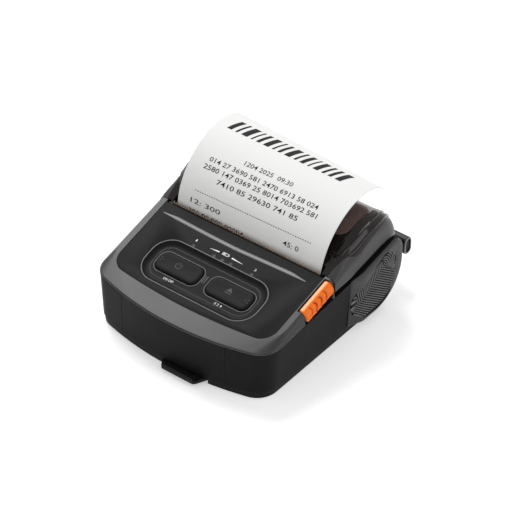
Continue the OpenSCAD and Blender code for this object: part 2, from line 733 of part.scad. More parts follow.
module motor_pinion() {
  color([0.8, 0.78, 0.7]) {
    gear(pinion_at, pinion_teeth, 0.5, pinion_phase);
    rod_x(pinion_at[0], pinion_at[1], 0.6, -gear_x - gear_t, -cheek_x + 5.5);
  }
}
module idler_gear() color([0.85, 0.84, 0.8]) gear(idler_at, idler_teeth, 1 + run_gap, idler_phase);
module platen_gear() color([0.85, 0.84, 0.8])
  gear([platen_y, platen_z], platen_teeth, shaft_r - 0.3, platen_phase);

module idler_pin() {
  color([0.75, 0.75, 0.77]) {
    rod_x(idler_at[0], idler_at[1], 1, -gear_x - gear_t - 0.3, -cheek_x + 1);
    rod_x(idler_at[0], idler_at[1], 1.6, -gear_x - gear_t - 0.7, -gear_x - gear_t - 0.25);
  }
}

module platen_roller() {
  color([0.15, 0.15, 0.15]) difference() {
    rod_x(platen_y, platen_z, platen_r, -paper_w / 2 - 0.4, half_paper + 0.4);
    rod_x(platen_y, platen_z, shaft_r, -60, 60);
  }
}

bush_x0 = half_paper + 0.8;
bush_x1 = bush_x0 + 1.6;

module platen_shaft() {
  color([0.78, 0.78, 0.8]) {
    rod_x(platen_y, platen_z, shaft_r, -gear_x + 0.1, bush_x1 + 0.3);
    rod_x(platen_y, platen_z, shaft_r - 0.3, -gear_x - gear_t, -gear_x + 0.2);
  }
}

module platen_bushes() {
  color([0.2, 0.2, 0.21]) mirror_x() difference() {
    rod_x(platen_y, platen_z, 2.6, bush_x0, bush_x1);
    rod_x(platen_y, platen_z, shaft_r + run_gap, 0, 60);
  }
}

// Depth to which the cover's solids are drawn, under its lower edge
cover_foot = cover_z - 7.6;

// Side view of the cover, drawn in by d; the front edge stands at y0
function cover_side(d, y0) =
  let (c = [cover_y, cover_z], r = cover_r - d, a = 90 + cover_tilt, t = c + r * [cos(a), sin(a)])
  concat([[y0, cover_foot], [y0, t[1] + (y0 - t[0]) * tan(cover_tilt)]], arc(c, r, a, -12, 22),
         [[cover_y + r - 1.2, cover_foot]]);

// Crowned solid of the cover, drawn in by d: full height in the middle, lower towards the sides
module cover_block(d) {
  y0 = split_y - 2 * d;
  edge_z = panel_at(split_y) - d;
  hull() {
    for (s = [[cover_flat - d / 2, 0], [cover_flat + 3.4 - d, 1.1], [cover_flat + 5.8 - d, 3.6],
              [case_w / 2 - 0.2 - d, 8.4]])
      along_x(cover_side(d + s[1], y0), -s[0], s[0]);
    for (s = [[case_w / 2 - 2.4 - d, edge_z], [case_w / 2 - 0.1 - d, edge_z - 3]])
      along_x([[y0, cover_foot + 2], [y0, s[1]], [y0 + 1, s[1]], [y0 + 1, cover_foot + 2]], -s[0], s[0]);
  }
}

// Side view of what lies above the cover's lower edge, which drops by d
function cover_above(d) = concat(
  [[-20, 90], [-20, seam_at(split_y) + cover_gap - d], [cap_front, seam_at(cap_front) + cover_gap - d],
   [cap_y - 1.4, cap_top + 1.1 - d / 3]],
  arc([case_rear - cap_corner - 0.6, cap_top - cap_corner + 0.3], cap_corner + 0.7, 80, 6, 8),
  [[case_rear + 8, hinge_z + knuckle_r + 0.5], [case_rear + 8, 90]]);

// Plan of the smoked shell: it widens behind its front part
shell_side = case_w / 2 - 1.35;
shell_steps = [[2.8, -20], [2.8, 11], [2.2, 13], [0.6, 15.4], [0, 17.5], [0, 80]];
shell_plan = concat([for (p = shell_steps) [shell_side - p[0], p[1]]],
  [for (i = [5:-1:0]) [shell_steps[i][0] - shell_side, shell_steps[i][1]]]);

module shell_zone(grow) {
  intersection() {
    linear_extrude(90) offset(delta = grow) polygon(shell_plan);
    translate([-80, -20, hinge_z + knuckle_r + 7.6 - grow]) cube([160, 100, 60]);
  }
}

module slot_cut(y) translate([-bay_half - 0.6, -30, 20]) cube([2 * bay_half + 1.2, 30 + y, 30]);

module cover_frame() {
  color([0.45, 0.46, 0.47]) {
    difference() {
      intersection() {
        cover_block(0);
        along_x(cover_above(0), -60, 60);
      }
      cover_block(cover_t);
      shell_zone(0.1);
      rod_x(hinge_y, hinge_z, knuckle_r + 0.4, -60, 60);
      slot_cut(lip_y);
    }
    for (s = cover_knuckles) knuckle(s[0], s[1], cover_web);
  }
}

module cover_shell() {
  color([0.3, 0.24, 0.23, 0.6]) difference() {
    intersection() {
      cover_block(0);
      shell_zone(0);
      along_x(cover_above(0), -60, 60);
    }
    cover_block(cover_t);
    slot_cut(lip_y);
  }
}

module cover_inner() {
  color([0.07, 0.07, 0.07]) difference() {
    union() {
      intersection() {
        difference() {
          cover_block(cover_t + 0.1);
          cover_block(cover_t + 0.1 + inner_t);
        }
        along_x(cover_above(cover_gap - 0.5), -60, 60);
        translate([-60, lip_y + 1, 0]) cube([120, 90, 90]);
        // Narrower in front, clear of the gears
        linear_extrude(90) polygon([[-cheek_x - 0.1, 0], [cheek_x + 0.1, 0], [cheek_x + 0.1, 12], [60, 14],
          [60, 60], [-60, 60], [-60, 14], [-cheek_x - 0.1, 12]]);
      }
      // Cheeks that carry the platen's bushes
      mirror_x() along_x([[platen_y - 2.9, platen_z - 3.4], [platen_y + 4.6, platen_z - 3.4],
        [platen_y + 9, platen_z + 11.6], [platen_y + 1, platen_z + 7.2], [platen_y - 2.9, platen_z + 4.4]],
        bush_x0, bush_x1);
    }
    mirror_x() rod_x(platen_y, platen_z, 2.6, bush_x0 - 1, bush_x1 + 1);
    // Window over the roll
    translate([0, 15 + 40, 0]) pill(2 * window_half, 80, 6, 90);
    rod_x(hinge_y, hinge_z, knuckle_r + 1, -60, 60);
  }
}

module cover_hinge_pin() color([0.75, 0.75, 0.77]) 
  rod_x(hinge_y, hinge_z, hinge_pin_r, -hinge_end + 0.4, hinge_end - 0.4);

module side_cap() {
  hull() {
    translate([seat_w / 2 + 0.1, 0, 0]) rotate([90, 0, 90]) linear_extrude(2) cap_outline(0.2);
    translate([cap_over / 2 - 0.9, 0, 0]) rotate([90, 0, 90]) linear_extrude(tiny) cap_outline(0.8);
    translate([cap_over / 2 - tiny, 0, 0]) rotate([90, 0, 90]) linear_extrude(tiny) cap_outline(2);
  }
}

// Teardrop of the grip pad, in the side view
module grip_outline() {
  hull() {
    translate([bucket_y + 7.4, bucket_z + 3.4]) circle(6.4, $fn = 32);
    translate([bucket_y - 7.6, bucket_z - 7.4]) circle(8.4, $fn = 32);
    translate([bucket_y, bucket_z - 2]) circle(13.4, $fn = 32);
  }
}

module grip_cap() {
  difference() {
    side_cap();
    // Ribbed grip: slanted grooves cut through the teardrop
    intersection() {
      translate([cap_over / 2 - 0.7, 0, 0]) rotate([90, 0, 90]) linear_extrude(2) grip_outline();
      for (i = [-9:9]) translate([0, bucket_y + 3, bucket_z - 3 + i * 1.5]) rotate([-12, 0, 0])
        translate([cap_over / 2 - 1, -20, -0.35]) cube([3, 40, 0.7]);
    }
  }
}

module right_side_cap() color([0.32, 0.33, 0.33]) grip_cap();
module left_side_cap() color([0.32, 0.33, 0.33]) mirror([1, 0, 0]) grip_cap();

module paper_roll() {
  color([0.93, 0.93, 0.92]) difference() {
    rod_x(bucket_y, roll_z, roll_r, -paper_w / 2, paper_w / 2);
    rod_x(bucket_y, roll_z, core_r, -60, 60);
  }
}

module paper_core() {
  color([0.66, 0.52, 0.36]) difference() {
    rod_x(bucket_y, roll_z, core_r, -paper_w / 2, paper_w / 2);
    rod_x(bucket_y, roll_z, core_r - core_t, -60, 60);
  }
}

module paper_web() {
  far = web_end + web_len * web_dir;
  color([0.95, 0.95, 0.94]) along_x([web_end, far, far + paper_t * web_out, web_end + paper_t * web_out],
    -paper_w / 2, paper_w / 2);
}

// Point of the receipt at u across and v along the paper, t off its middle: it rises from the print head
// and curls back over the cover about an axis that leans a little to the right
function receipt_at(u, v, t) =
  let (along = u * cos(curl_lean) - v * sin(curl_lean), up = u * sin(curl_lean) + v * cos(curl_lean),
       turn = max(up, 0) / curl_r * 180 / PI, r = curl_r + t, rise = min(up, 0) + r * sin(turn))
  [along * cos(curl_lean) + rise * sin(curl_lean), paper_y + curl_r - r * cos(turn),
   platen_z + 0.2 - along * sin(curl_lean) + rise * cos(curl_lean)];

module receipt() {
  steps = 30;
  corners = [for (i = [0:steps], t = [-1, 1], s = [-1, 1])
    receipt_at(s * half_paper, i * receipt_l / steps, t * paper_t / 2)];
  sides = [[0, 1, 4, 5], [3, 2, 7, 6], [2, 0, 6, 4], [1, 3, 5, 7]];
  color([0.95, 0.95, 0.95]) polyhedron(corners, concat([[0, 2, 3], [0, 3, 1]],
    [for (i = [0:steps - 1], f = sides, h = [[f[0], f[1], f[2]], [f[2], f[1], f[3]]]) h + [1, 1, 1] * 4 * i],
    [[1, 3, 2] + [1, 1, 1] * 4 * steps, [1, 2, 0] + [1, 1, 1] * 4 * steps]));
}

// Orange lever at the right edge of the bezel, on the latch shaft
module release_lever() {
  color([0.96, 0.5, 0.15]) difference() {
    union() {
      hull() {
        slab_piece(lever_in, lever_out - 1.6, lever_half, 0.1, 0.8);
        slab_piece(lever_in, lever_out, lever_half, 1.6, lever_t);
      }
      rod_x(latch_y, latch_z, 2.4, lever_in, lever_in + 1.8);
      translate([lever_in, latch_y - 2.2, latch_z]) cube([1.8, 4.4, panel_at(latch_y) - latch_z - 2]);
    }
    rod_x(latch_y, latch_z, latch_r, lever_in - 1, lever_out + 1);
    // Finger scallops on the outer side
    for (k = [-1:1]) translate([lever_out + 1.4, lever_y + k * 4.4 - 1, 0])
      cylinder(h = 80, r = 2.6, $fn = fine);
  }
}

// Piece of the lever between two depths under the panel's plane
module slab_piece(x0, x1, half, d0, d1) {
  along_x([for (k = [[-half, d0], [half, d0], [half, d1], [-half, d1]])
    [lever_y + k[0], panel_at(lever_y + k[0]) - k[1]]], x0, x1);
}

module latch_shaft() color([0.75, 0.75, 0.77]) rod_x(latch_y, latch_z, latch_r, -arm_x - 1.5, lever_in + 1.8);

module latch_hooks() {
  nose = [platen_y - 3.4, platen_z + 1.2];
  color([0.5, 0.5, 0.52]) mirror_x() difference() {
    union() {
      rod_x(latch_y, latch_z, 2.2, arm_x, arm_x + 1);
      along_x([[latch_y, latch_z - 2], [nose[0] - 3, latch_z - 1.2], nose + [-0.8, -3.2], nose,
               nose + [-1.2, 0.6], [latch_y, latch_z + 2]], arm_x, arm_x + 1);
    }
    rod_x(latch_y, latch_z, latch_r, 0, 60);
  }
}

module latch_spring() {
  color([0.8, 0.8, 0.82]) difference() {
    rod_x(latch_y, latch_z, latch_r + 1, post_x - 7.6, post_x - 2);
    rod_x(latch_y, latch_z, latch_r + 0.3, post_x - 9, post_x - 1);
  }
}

board_half = half_paper - 3.75;

module main_board() {
  color([0.1, 0.35, 0.2]) difference() {
    union() {
      translate([-board_half, board_front, board_z])
        cube([2 * board_half, board_rear - board_front, board_t]);
      translate([-board_half - 8, port_y - 7.7, board_z]) cube([10, 13, board_t]);
    }
    for (p = board_spots) translate([p[0], p[1], board_z - 1]) cylinder(h = 4, r = 0.8, $fn = fine);
  }
}

module board_chips() {
  color([0.15, 0.15, 0.16]) {
    translate([-9, -19.6, board_z + board_t]) cube([12, 7, 1.2]);
    translate([8, -19, board_z + board_t]) cube([8, 6, 1]);
    translate([-rear_post_x - 10, -20.6, board_z + board_t]) cube([6, 6, 1]);
    translate([rear_post_x + 4, -20, board_z + board_t]) cube([7, 5, 1.4]);
  }
}

module board_screws() {
  color([0.6, 0.6, 0.62]) for (p = board_spots) translate([p[0], p[1], board_z - 4]) {
    cylinder(h = 4 + board_t, r = 0.65, $fn = fine);
    translate([0, 0, 4 + board_t]) cylinder(h = 0.8, r = 1.4, $fn = fine);
  }
}

// Switches under the two buttons, as tall as the space above the board asks
module tact_switches() {
  color([0.2, 0.2, 0.21]) for (p = button_spots) {
    y = p[1] * cos(panel_tilt) + (panel_t + 1.8 + button_travel) * sin(panel_tilt);
    z = panel_z + p[1] * sin(panel_tilt) - (panel_t + 1.8 + button_travel) * cos(panel_tilt) - 1;
    translate([p[0] - 1.8, y - 1.8, board_z + board_t]) cube([3.6, 3.6, z - board_z - board_t]);
  }
}

port_y = latch_y - 13.2;
port_z = base_z + 11.2;
port_x = foot_w / 2 + flare * (port_z - base_z) - 1.5;

module port_cut() {
  translate([-port_x - 5, port_y - port_l / 2 - 0.3, port_z - 0.3]) cube([5, port_l + 0.6, port_h + 0.6]);
  translate([-port_x - 5, port_y - 9.5, port_z + 3.2]) cube([9, 8.4, 3.4]);
  rod_x(port_y + 6, port_z + 3.9, 2.6, -port_x - 5, -port_x + 6);
}

module usb_socket() {
  color([0.75, 0.75, 0.77]) difference() {
    translate([-port_x + 1.3, port_y - 9.3, board_z - 3.9]) cube([7, 7.6, 3.85]);
    translate([-port_x - 1, port_y - 8.8, board_z - 3.4]) cube([6, 6.6, 2.6]);
    translate([-port_x + 1.8, port_y - 7.4, board_z - 2]) cube([4, 3.8, 0.8]);
  }
}

module power_socket() {
  color([0.08, 0.08, 0.08]) difference() {
    translate([-port_x + 0.6, port_y + 3, board_z - 5.4]) cube([8, 6, 5.35]);
    rod_x(port_y + 6, board_z - 2.7, 1.9, -port_x - 1, -port_x + 6);
  }
}

module port_cover() {
  color([0.1, 0.1, 0.1]) {
    translate([-port_x - 1.3, port_y - port_l / 2, port_z + 0.65]) cube([1.25, port_l, port_h - 0.65]);
    rod_y(-port_x - 0.675, port_z + 0.65, 0.625, port_y - port_l / 2, port_y + port_l / 2);
  }
}

module rod_y(x, z, r, y0, y1) {
  translate([x, y0, z]) rotate([-90, 0, 0]) cylinder(h = y1 - y0, r = r, $fn = fine);
}

module buzzer() {
  color([0.1, 0.1, 0.1]) translate([half_paper - 11.25, board_front + 12, board_z + board_t]) difference() {
    cylinder(h = 2.4, r = 4.2, $fn = fine);
    translate([0, 0, 1.6]) cylinder(h = 2, r = 0.8, $fn = fine);
  }
}

module battery_pack() {
  color([0.14, 0.14, 0.15]) difference() {
    union() {
      translate([-battery_w / 2, battery_body_y - 0.5, battery_z])
        cube([battery_w, battery_l + 0.5, battery_h]);
      // Front face, flush with the case
      intersection() {
        case_block(0);
        along_x([[-case_front - 2, base_z], [battery_body_y - seat, base_z],
          [battery_body_y - seat, seam_at(battery_body_y) + seam_gap - seat],
          [-case_front - 2, seam_at(-case_front - 2) + seam_gap - seat]],
          -battery_w / 2, battery_w / 2);
      }
    }
    translate([-battery_w / 2 + 1.2, battery_body_y + 1, battery_z + 1])
      cube([battery_w - 2.4, battery_l - 2.2, battery_h - 2]);
  }
}

module battery_cells() {
  color([0.3, 0.45, 0.6]) for (s = [0, 1]) translate([-battery_w / 2 + 1.5 + s * (battery_w - 2.7) / 2,
    battery_body_y + 1.5, battery_z + 1.3]) cube([(battery_w - 3.3) / 2, battery_l - 3, battery_h - 2.6]);
}

module battery_contacts() {
  color([0.85, 0.7, 0.35]) {
    translate([-11, battery_rear + battery_gap + 0.3, floor_z + 4.4]) cube([22, 2.4, 5.2]);
    for (x = [-7.5:5:7.5]) translate([x - 0.8, battery_rear + 0.1, floor_z + 5.4]) cube([1.6, 0.6, 3]);
  }
}

// Right edge of the clip from its pin to its tip, as distance in from the side and place along Y
clip_side = [[0, clip_y - 1.9], [0, clip_tip + 6], [2.4, clip_tip + 1], [3.4, clip_tip]];

module belt_clip() {
  color([0.09, 0.09, 0.095]) difference() {
    union() {
      translate([clip_x, 0, clip_z - clip_t / 2]) linear_extrude(clip_t)
        polygon(concat([for (p = clip_side) [clip_w / 2 - p[0], p[1]]],
                       [for (i = [3:-1:0]) [clip_side[i][0] - clip_w / 2, clip_side[i][1]]]));
      for (s = [[-clip_w / 2, -clip_w / 2 + 7], [clip_w / 2 - 7, clip_w / 2]]) translate([clip_x, 0, 0]) {
        rod_x(clip_y, clip_z, 1.4, s[0], s[1]);
        translate([s[0], clip_y - 2, clip_z - clip_t / 2]) cube([s[1] - s[0], 2, clip_t]);
      }
      // Thicker lip at the free end
      translate([clip_x - clip_w / 2 + 3.6, clip_tip + 0.2, clip_z]) cube([clip_w - 7.2, 2.4, 1.8]);
    }
    rod_x(clip_y, clip_z, 0.8 + run_gap, clip_x - 30, clip_x + 30);
  }
}

module clip_pin() color([0.75, 0.75, 0.77])
  rod_x(clip_y, clip_z, 0.8, clip_x - clip_w / 2 - 3, clip_x + clip_w / 2 + 3);

module clip_spring() {
  color([0.8, 0.8, 0.82]) difference() {
    rod_x(clip_y, clip_z, 1.4, clip_x - clip_w / 2 + 7.4, clip_x + clip_w / 2 - 7.4);
    rod_x(clip_y, clip_z, 1, clip_x - clip_w / 2 + 6, clip_x + clip_w / 2 - 6);
  }
}

// Oval bar along X between x0 and x1, grown by a gap
module oval_bar(x0, x1, gap) {
  translate([x0, bar_y, bar_z]) rotate([90, 0, 90]) linear_extrude(x1 - x0)
    hull() for (s = [-1, 1]) translate([0, s * (bar_h - bar_d) / 2]) circle(bar_d / 2 + gap, $fn = 48);
}

module strap_bar() color([0.14, 0.14, 0.14]) oval_bar(-bar_l / 2, bar_l / 2, 0);

bracket_x = bar_l / 2 - 5;

module bar_brackets() {
  color([0.1, 0.1, 0.1]) mirror_x() difference() {
    along_x([[case_rear + 0.05, bar_z - bar_h / 2 - 1], [bar_y, bar_z - bar_h / 2 + 0.6],
             [bar_y, bar_z + bar_h / 2 - 2.4], [case_rear + 0.05, bar_z + bar_h / 2 - 2]],
            bracket_x - 2, bracket_x + 2);
    oval_bar(0, case_w, 0.05);
    rod_x(bucket_y, bucket_z, bucket_r + 0.05, -case_w, case_w);
  }
}

lower_case();
base_plate();
feet();
case_screws();
top_bezel();
control_panel();
led_lenses();
power_button();
feed_button();
tear_bar();
mech_frame();
print_head();
head_heatsink();
head_springs();
feed_motor();
motor_pinion();
idler_gear();
idler_pin();
platen_roller();
platen_shaft();
platen_gear();
platen_bushes();
cover_frame();
cover_shell();
cover_inner();
cover_hinge_pin();
left_side_cap();
right_side_cap();
paper_roll();
paper_core();
paper_web();
receipt();
release_lever();
latch_shaft();
latch_hooks();
latch_spring();
main_board();
board_chips();
board_screws();
tact_switches();
usb_socket();
power_socket();
port_cover();
buzzer();
battery_pack();
battery_cells();
battery_contacts();
belt_clip();
clip_pin();
clip_spring();
strap_bar();
bar_brackets();
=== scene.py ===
import bpy
import json
from functools import partial
from math import asin, atan2, cos, degrees, exp, hypot, pi, radians, sin, sqrt, tan
from mathutils import Matrix, Vector


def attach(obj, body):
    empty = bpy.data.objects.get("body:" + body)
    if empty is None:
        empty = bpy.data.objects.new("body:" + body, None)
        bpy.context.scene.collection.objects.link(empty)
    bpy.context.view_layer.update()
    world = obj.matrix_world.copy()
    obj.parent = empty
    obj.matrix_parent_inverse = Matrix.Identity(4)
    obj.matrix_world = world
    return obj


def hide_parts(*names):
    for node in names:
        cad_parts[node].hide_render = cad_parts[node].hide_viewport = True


# A portable receipt printer with a roll of paper, its receipt curling back over the cover

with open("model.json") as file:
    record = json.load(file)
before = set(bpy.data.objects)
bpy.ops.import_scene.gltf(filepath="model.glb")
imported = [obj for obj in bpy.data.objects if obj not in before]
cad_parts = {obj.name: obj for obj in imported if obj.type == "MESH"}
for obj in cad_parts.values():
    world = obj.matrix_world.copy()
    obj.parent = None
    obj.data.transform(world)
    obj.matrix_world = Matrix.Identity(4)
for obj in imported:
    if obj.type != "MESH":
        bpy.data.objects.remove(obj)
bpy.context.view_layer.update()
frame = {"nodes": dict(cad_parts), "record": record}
nodes = frame["nodes"]
scene = bpy.context.scene
mm = 0.001
print("frame loaded:", len(nodes), "nodes")


# Small helpers

def colour(text):
    parts = [int(text[i:i + 2], 16) / 255 for i in (1, 3, 5)]
    return [c / 12.92 if c <= 0.04045 else ((c + 0.055) / 1.055) ** 2.4 for c in parts] + [1.0]


def deselectAll():
    if bpy.context.mode != "OBJECT":
        bpy.ops.object.mode_set(mode="OBJECT")
    bpy.ops.object.select_all(action="DESELECT")


def pickOnly(obj):
    deselectAll()
    obj.select_set(True)
    bpy.context.view_layer.objects.active = obj


def added(name):
    # What an operator has just added or joined, under its own name
    bpy.context.object.name = name
    return bpy.context.object


def setAll(thing, settings):
    for key, value in settings.items():
        setattr(thing, key, value)


def editMesh():
    # Edit mode with everything picked
    bpy.ops.object.mode_set(mode="EDIT")
    bpy.ops.mesh.select_all(action="SELECT")


def smoothStep(t):
    t = min(max(t, 0.0), 1.0)
    return t * t * (3 - 2 * t)


def readTable(table, at):
    # Straight lines between the rows of a table of pairs
    if at <= table[0][0]:
        return table[0][1]
    for (x0, y0), (x1, y1) in zip(table, table[1:]):
        if at <= x1:
            return y0 + (y1 - y0) * (at - x0) / (x1 - x0)
    return table[-1][1]


def arcPoints(centre, radius, start, end, steps):
    turns = [radians(start + (end - start) * i / steps) for i in range(steps + 1)]
    return [(centre[0] + radius * cos(turn), centre[1] + radius * sin(turn)) for turn in turns]


# Camera at the photograph's angle

cameraSettings = {"azimuth": 38.16, "elevation": 38.91, "distance": 1345.15, "aim": (6.58, -2.96, 32.23),
                  "lens": {"lens": 215.6, "sensor_width": 36, "sensor_fit": "HORIZONTAL", "clip_start": 0.05,
                           "clip_end": 20}}


def addCamera(look):
    turn, rise = radians(look["azimuth"]), radians(look["elevation"])
    back = Vector((sin(turn) * cos(rise), -cos(turn) * cos(rise), sin(rise)))
    bpy.ops.object.camera_add(location=(Vector(look["aim"]) + back * look["distance"]) * mm)
    camera = added("photoCamera")
    camera.rotation_euler = (-back).to_track_quat("-Z", "Y").to_euler()
    setAll(camera.data, look["lens"])
    scene.camera = camera


addCamera(cameraSettings)
print("camera set")


# Node groups that several materials share

def newGroup(name, inputs, outputs):
    # Inputs are numbers or colours by their first value
    group = bpy.data.node_groups.new(name, "ShaderNodeTree")
    for label, value in inputs.items():
        kind = "NodeSocketFloat" if isinstance(value, float) else "NodeSocketColor"
        group.interface.new_socket(name=label, in_out="INPUT", socket_type=kind).default_value = value
    for label, kind in outputs.items():
        group.interface.new_socket(name=label, in_out="OUTPUT", socket_type="NodeSocket" + kind)
    return group, group.nodes.new("NodeGroupInput").outputs, group.nodes.new("NodeGroupOutput").inputs


def feed(tree, sockets, values):
    # A socket among the values is linked, a number or a colour is set
    for label, value in values.items():
        if isinstance(value, bpy.types.NodeSocket):
            tree.links.new(value, sockets[label])
        else:
            sockets[label].default_value = value


def newNode(tree, kind, inputs, **settings):
    node = tree.nodes.new("ShaderNode" + kind)
    setAll(node, settings)
    feed(tree, node.inputs, inputs)
    return node.outputs


def mathNode(tree, operation, first, second=None, clamp=False):
    inputs = {0: first} if second is None else {0: first, 1: second}
    return newNode(tree, "Math", inputs, operation=operation, use_clamp=clamp)[0]


def mixNode(tree, share, plain, tint):
    return newNode(tree, "Mix", {"Factor": share, 6: plain, 7: tint}, data_type="RGBA")[2]


def noiseNode(tree, place, detail, scale):
    return newNode(tree, "TexNoise", {"Detail": detail, "Vector": place, "Scale": scale})["Fac"]


def buildMoulded():
    # Moulded or rolled surface: slow clouds, fine grain, and a painted highlight that lightens its edges towards grey
    group, given, out = newGroup("mouldedSurface", {
        "colour": (0.1, 0.1, 0.1, 1), "vary": 0.1, "grainSize": 2500.0, "grainHeight": 0.1, "rough": 0.5,
        "roughVary": 0.1, "edgeRadius": 0.0003, "edgeLight": 0.3},
        {"colour": "Color", "rough": "Float", "normal": "Vector"})
    calc = partial(mathNode, group)
    place = newNode(group, "TexCoord", {})["Object"]
    cloud = noiseNode(group, place, 4, 60)
    grain = noiseNode(group, place, 2, given["grainSize"])
    bevel = newNode(group, "Bevel", {"Radius": given["edgeRadius"]}, samples=4)["Normal"]
    shape = newNode(group, "NewGeometry", {})["Normal"]
    turn = newNode(group, "VectorMath", {0: bevel, 1: shape}, operation="DOT_PRODUCT")["Value"]
    # Painted highlight: where the bevel normal turns away from the face's own normal, the colour is mixed towards grey
    edge = calc("MULTIPLY", calc("SUBTRACT", 1.0, turn), 6.0, clamp=True)
    edge = calc("MULTIPLY", edge, given["edgeLight"])
    cloudPart, grainPart = calc("SUBTRACT", cloud, 0.5), calc("SUBTRACT", grain, 0.5)
    shade = calc("ADD", calc("MULTIPLY", calc("ADD", cloudPart, grainPart), given["vary"]), 1.0)
    tint = newNode(group, "VectorMath", {0: given["colour"], "Scale": shade}, operation="SCALE")["Vector"]
    rough = calc("ADD", given["rough"], calc("MULTIPLY", cloudPart, given["roughVary"]), clamp=True)
    bump = newNode(group, "Bump", {"Distance": 0.0002, "Strength": given["grainHeight"], "Height": grain,
                                   "Normal": bevel})["Normal"]
    feed(group, out, {"colour": mixNode(group, edge, tint, (0.5, 0.5, 0.5, 1)), "rough": rough, "normal": bump})
    return group


mouldedGroup = buildMoulded()


def newMaterial(name):
    material = bpy.data.materials.new(name)
    material.use_nodes = True
    return material, material.node_tree, material.node_tree.nodes["Principled BSDF"].inputs


def groupNode(tree, group, values):
    known = {key: value for key, value in values.items() if key in group.interface.items_tree}
    return newNode(tree, "Group", known, node_tree=group)


def moulded(name, look):
    material, tree, shader = newMaterial(name)
    made = groupNode(tree, mouldedGroup, dict(look, colour=colour(look["colour"])))
    feed(tree, shader, {"Base Color": made["colour"], "Roughness": made["rough"], "Normal": made["normal"],
                        "Metallic": look.get("metallic", 0.0), "Specular IOR Level": look.get("specular", 0.5)})
    return material


def surface(shade, rough, **rest):
    return dict(rest, colour=shade, rough=rough)


looks = {
    "caseBlack": surface("#0f0f10", 0.55, grainSize=3500, grainHeight=0.25, vary=0.3, specular=0.1, edgeLight=0.08),
    "baseBlack": surface("#0c0c0d", 0.5, specular=0.15, edgeLight=0.06),
    "bezelGrey": surface("#2b2b2c", 0.36, metallic=0.1, grainHeight=0.05, vary=0.08, edgeLight=0.25, specular=0.3),
    "coverGrey": surface("#343435", 0.4, grainHeight=0.08, vary=0.08, edgeLight=0.2, specular=0.25),
    "capGrey": surface("#373738", 0.5, grainSize=3500, grainHeight=0.2, vary=0.15, specular=0.3, edgeLight=0.12),
    "padGrey": surface("#6c6c6e", 0.6, grainSize=3500, grainHeight=0.1, vary=0.15, specular=0.3, edgeLight=0.1),
    "panelBlack": surface("#121213", 0.5, grainSize=4200, grainHeight=0.5, vary=0.5, specular=0.1, edgeLight=0.3),
    # Painted shade for the wall of the panel recess
    "panelDeep": surface("#050506", 0.45, specular=0.1, edgeLight=0.05),
    # Painted highlight: the panel's beads, crease and dividers are black plastic drawn lighter
    "panelEdge": surface("#6e6e70", 0.4, specular=0.4, edgeLight=0.1),
    "keyBlack": surface("#0e0e0f", 0.5, grainSize=4200, grainHeight=0.4, vary=0.4, specular=0.1, edgeLight=0.25),
    "signGrey": surface("#3c3c3e", 0.5, specular=0.2, edgeLight=0.0),
    "labelWhite": surface("#e2e2e2", 0.6, grainHeight=0.05, edgeLight=0.0),
    "lensSmoke": surface("#1a1b1c", 0.25, grainHeight=0.0, edgeLight=0.1, specular=0.12),
    "innerBlack": surface("#080808", 0.25, grainHeight=0.0, specular=0.4, edgeLight=0.1),
    "pinSteel": surface("#b5b6b8", 0.3, metallic=1.0),
    "frameSteel": surface("#8e8f91", 0.42, metallic=1.0),
    "springSteel": surface("#c4c5c8", 0.3, metallic=1.0),
    "tearSteel": surface("#8a7a6c", 0.35, metallic=0.8),
    "headCeramic": surface("#bdb6a6", 0.3),
    "sinkAluminium": surface("#b3b4b6", 0.45, metallic=1.0),
    "motorMetal": surface("#a9aaac", 0.35, metallic=0.9),
    "gearPlastic": surface("#d8d6cd", 0.5),
    "pinionBrass": surface("#c9a55e", 0.35, metallic=1.0),
    "rollerRubber": surface("#1f1f20", 0.75),
    "bushPlastic": surface("#2a2a2c", 0.5),
    "paperWhite": surface("#e2e2e1", 0.7, grainHeight=0.05, vary=0.02, edgeLight=0.0),
    "printInk": surface("#0c0c0d", 0.6, grainHeight=0.05, specular=0.2, edgeLight=0.0),
    "coreCard": surface("#a98660", 0.85, vary=0.2),
    "boardGreen": surface("#1c5a36", 0.35, vary=0.15),
    "chipBlack": surface("#1d1d1f", 0.45),
    "flapRubber": surface("#111112", 0.7, specular=0.3, edgeLight=0.08),
    "feetRubber": surface("#17171a", 0.8),
    "cellBlue": surface("#3e6a94", 0.35),
    "contactBrass": surface("#cfae5c", 0.3, metallic=1.0),
    "hookSteel": surface("#77787a", 0.4, metallic=1.0),
    "barBlack": surface("#151516", 0.42, edgeLight=0.12),
    # Painted shade in the grip pad's grooves, and the dark seam round the cap's outline
    "padDark": surface("#070708", 0.7, specular=0.1, edgeLight=0.0),
    # Painted highlight on the strap bar's end rims
    "barRim": surface("#7a7a7a", 0.4, edgeLight=0.2),
    # Painted highlight on the lever's flat strip
    "leverPale": surface("#f4a05c", 0.3, grainHeight=0.0, vary=0.05, specular=0.35, edgeLight=0.1),
    "leverOrange": surface("#f0700a", 0.3, grainHeight=0.0, vary=0.1, specular=0.25, edgeLight=0.0),
    # Painted shade in the lever's grooves
    "leverDeep": surface("#b83605", 0.4, grainHeight=0.0, vary=0.1, specular=0.2, edgeLight=0.0),
}
materials = {name: moulded(name, look) for name, look in looks.items()}

shellLook = surface("#1a1413", 0.1, grainHeight=0.0, roughVary=0.03, vary=0.02, edgeLight=0.0, specular=0.22)
shellWindow = {"brown": "#705a54", "half": 42.0, "from": 14.6, "corner": 6.0, "soft": 0.12, "seeThrough": 0.3}


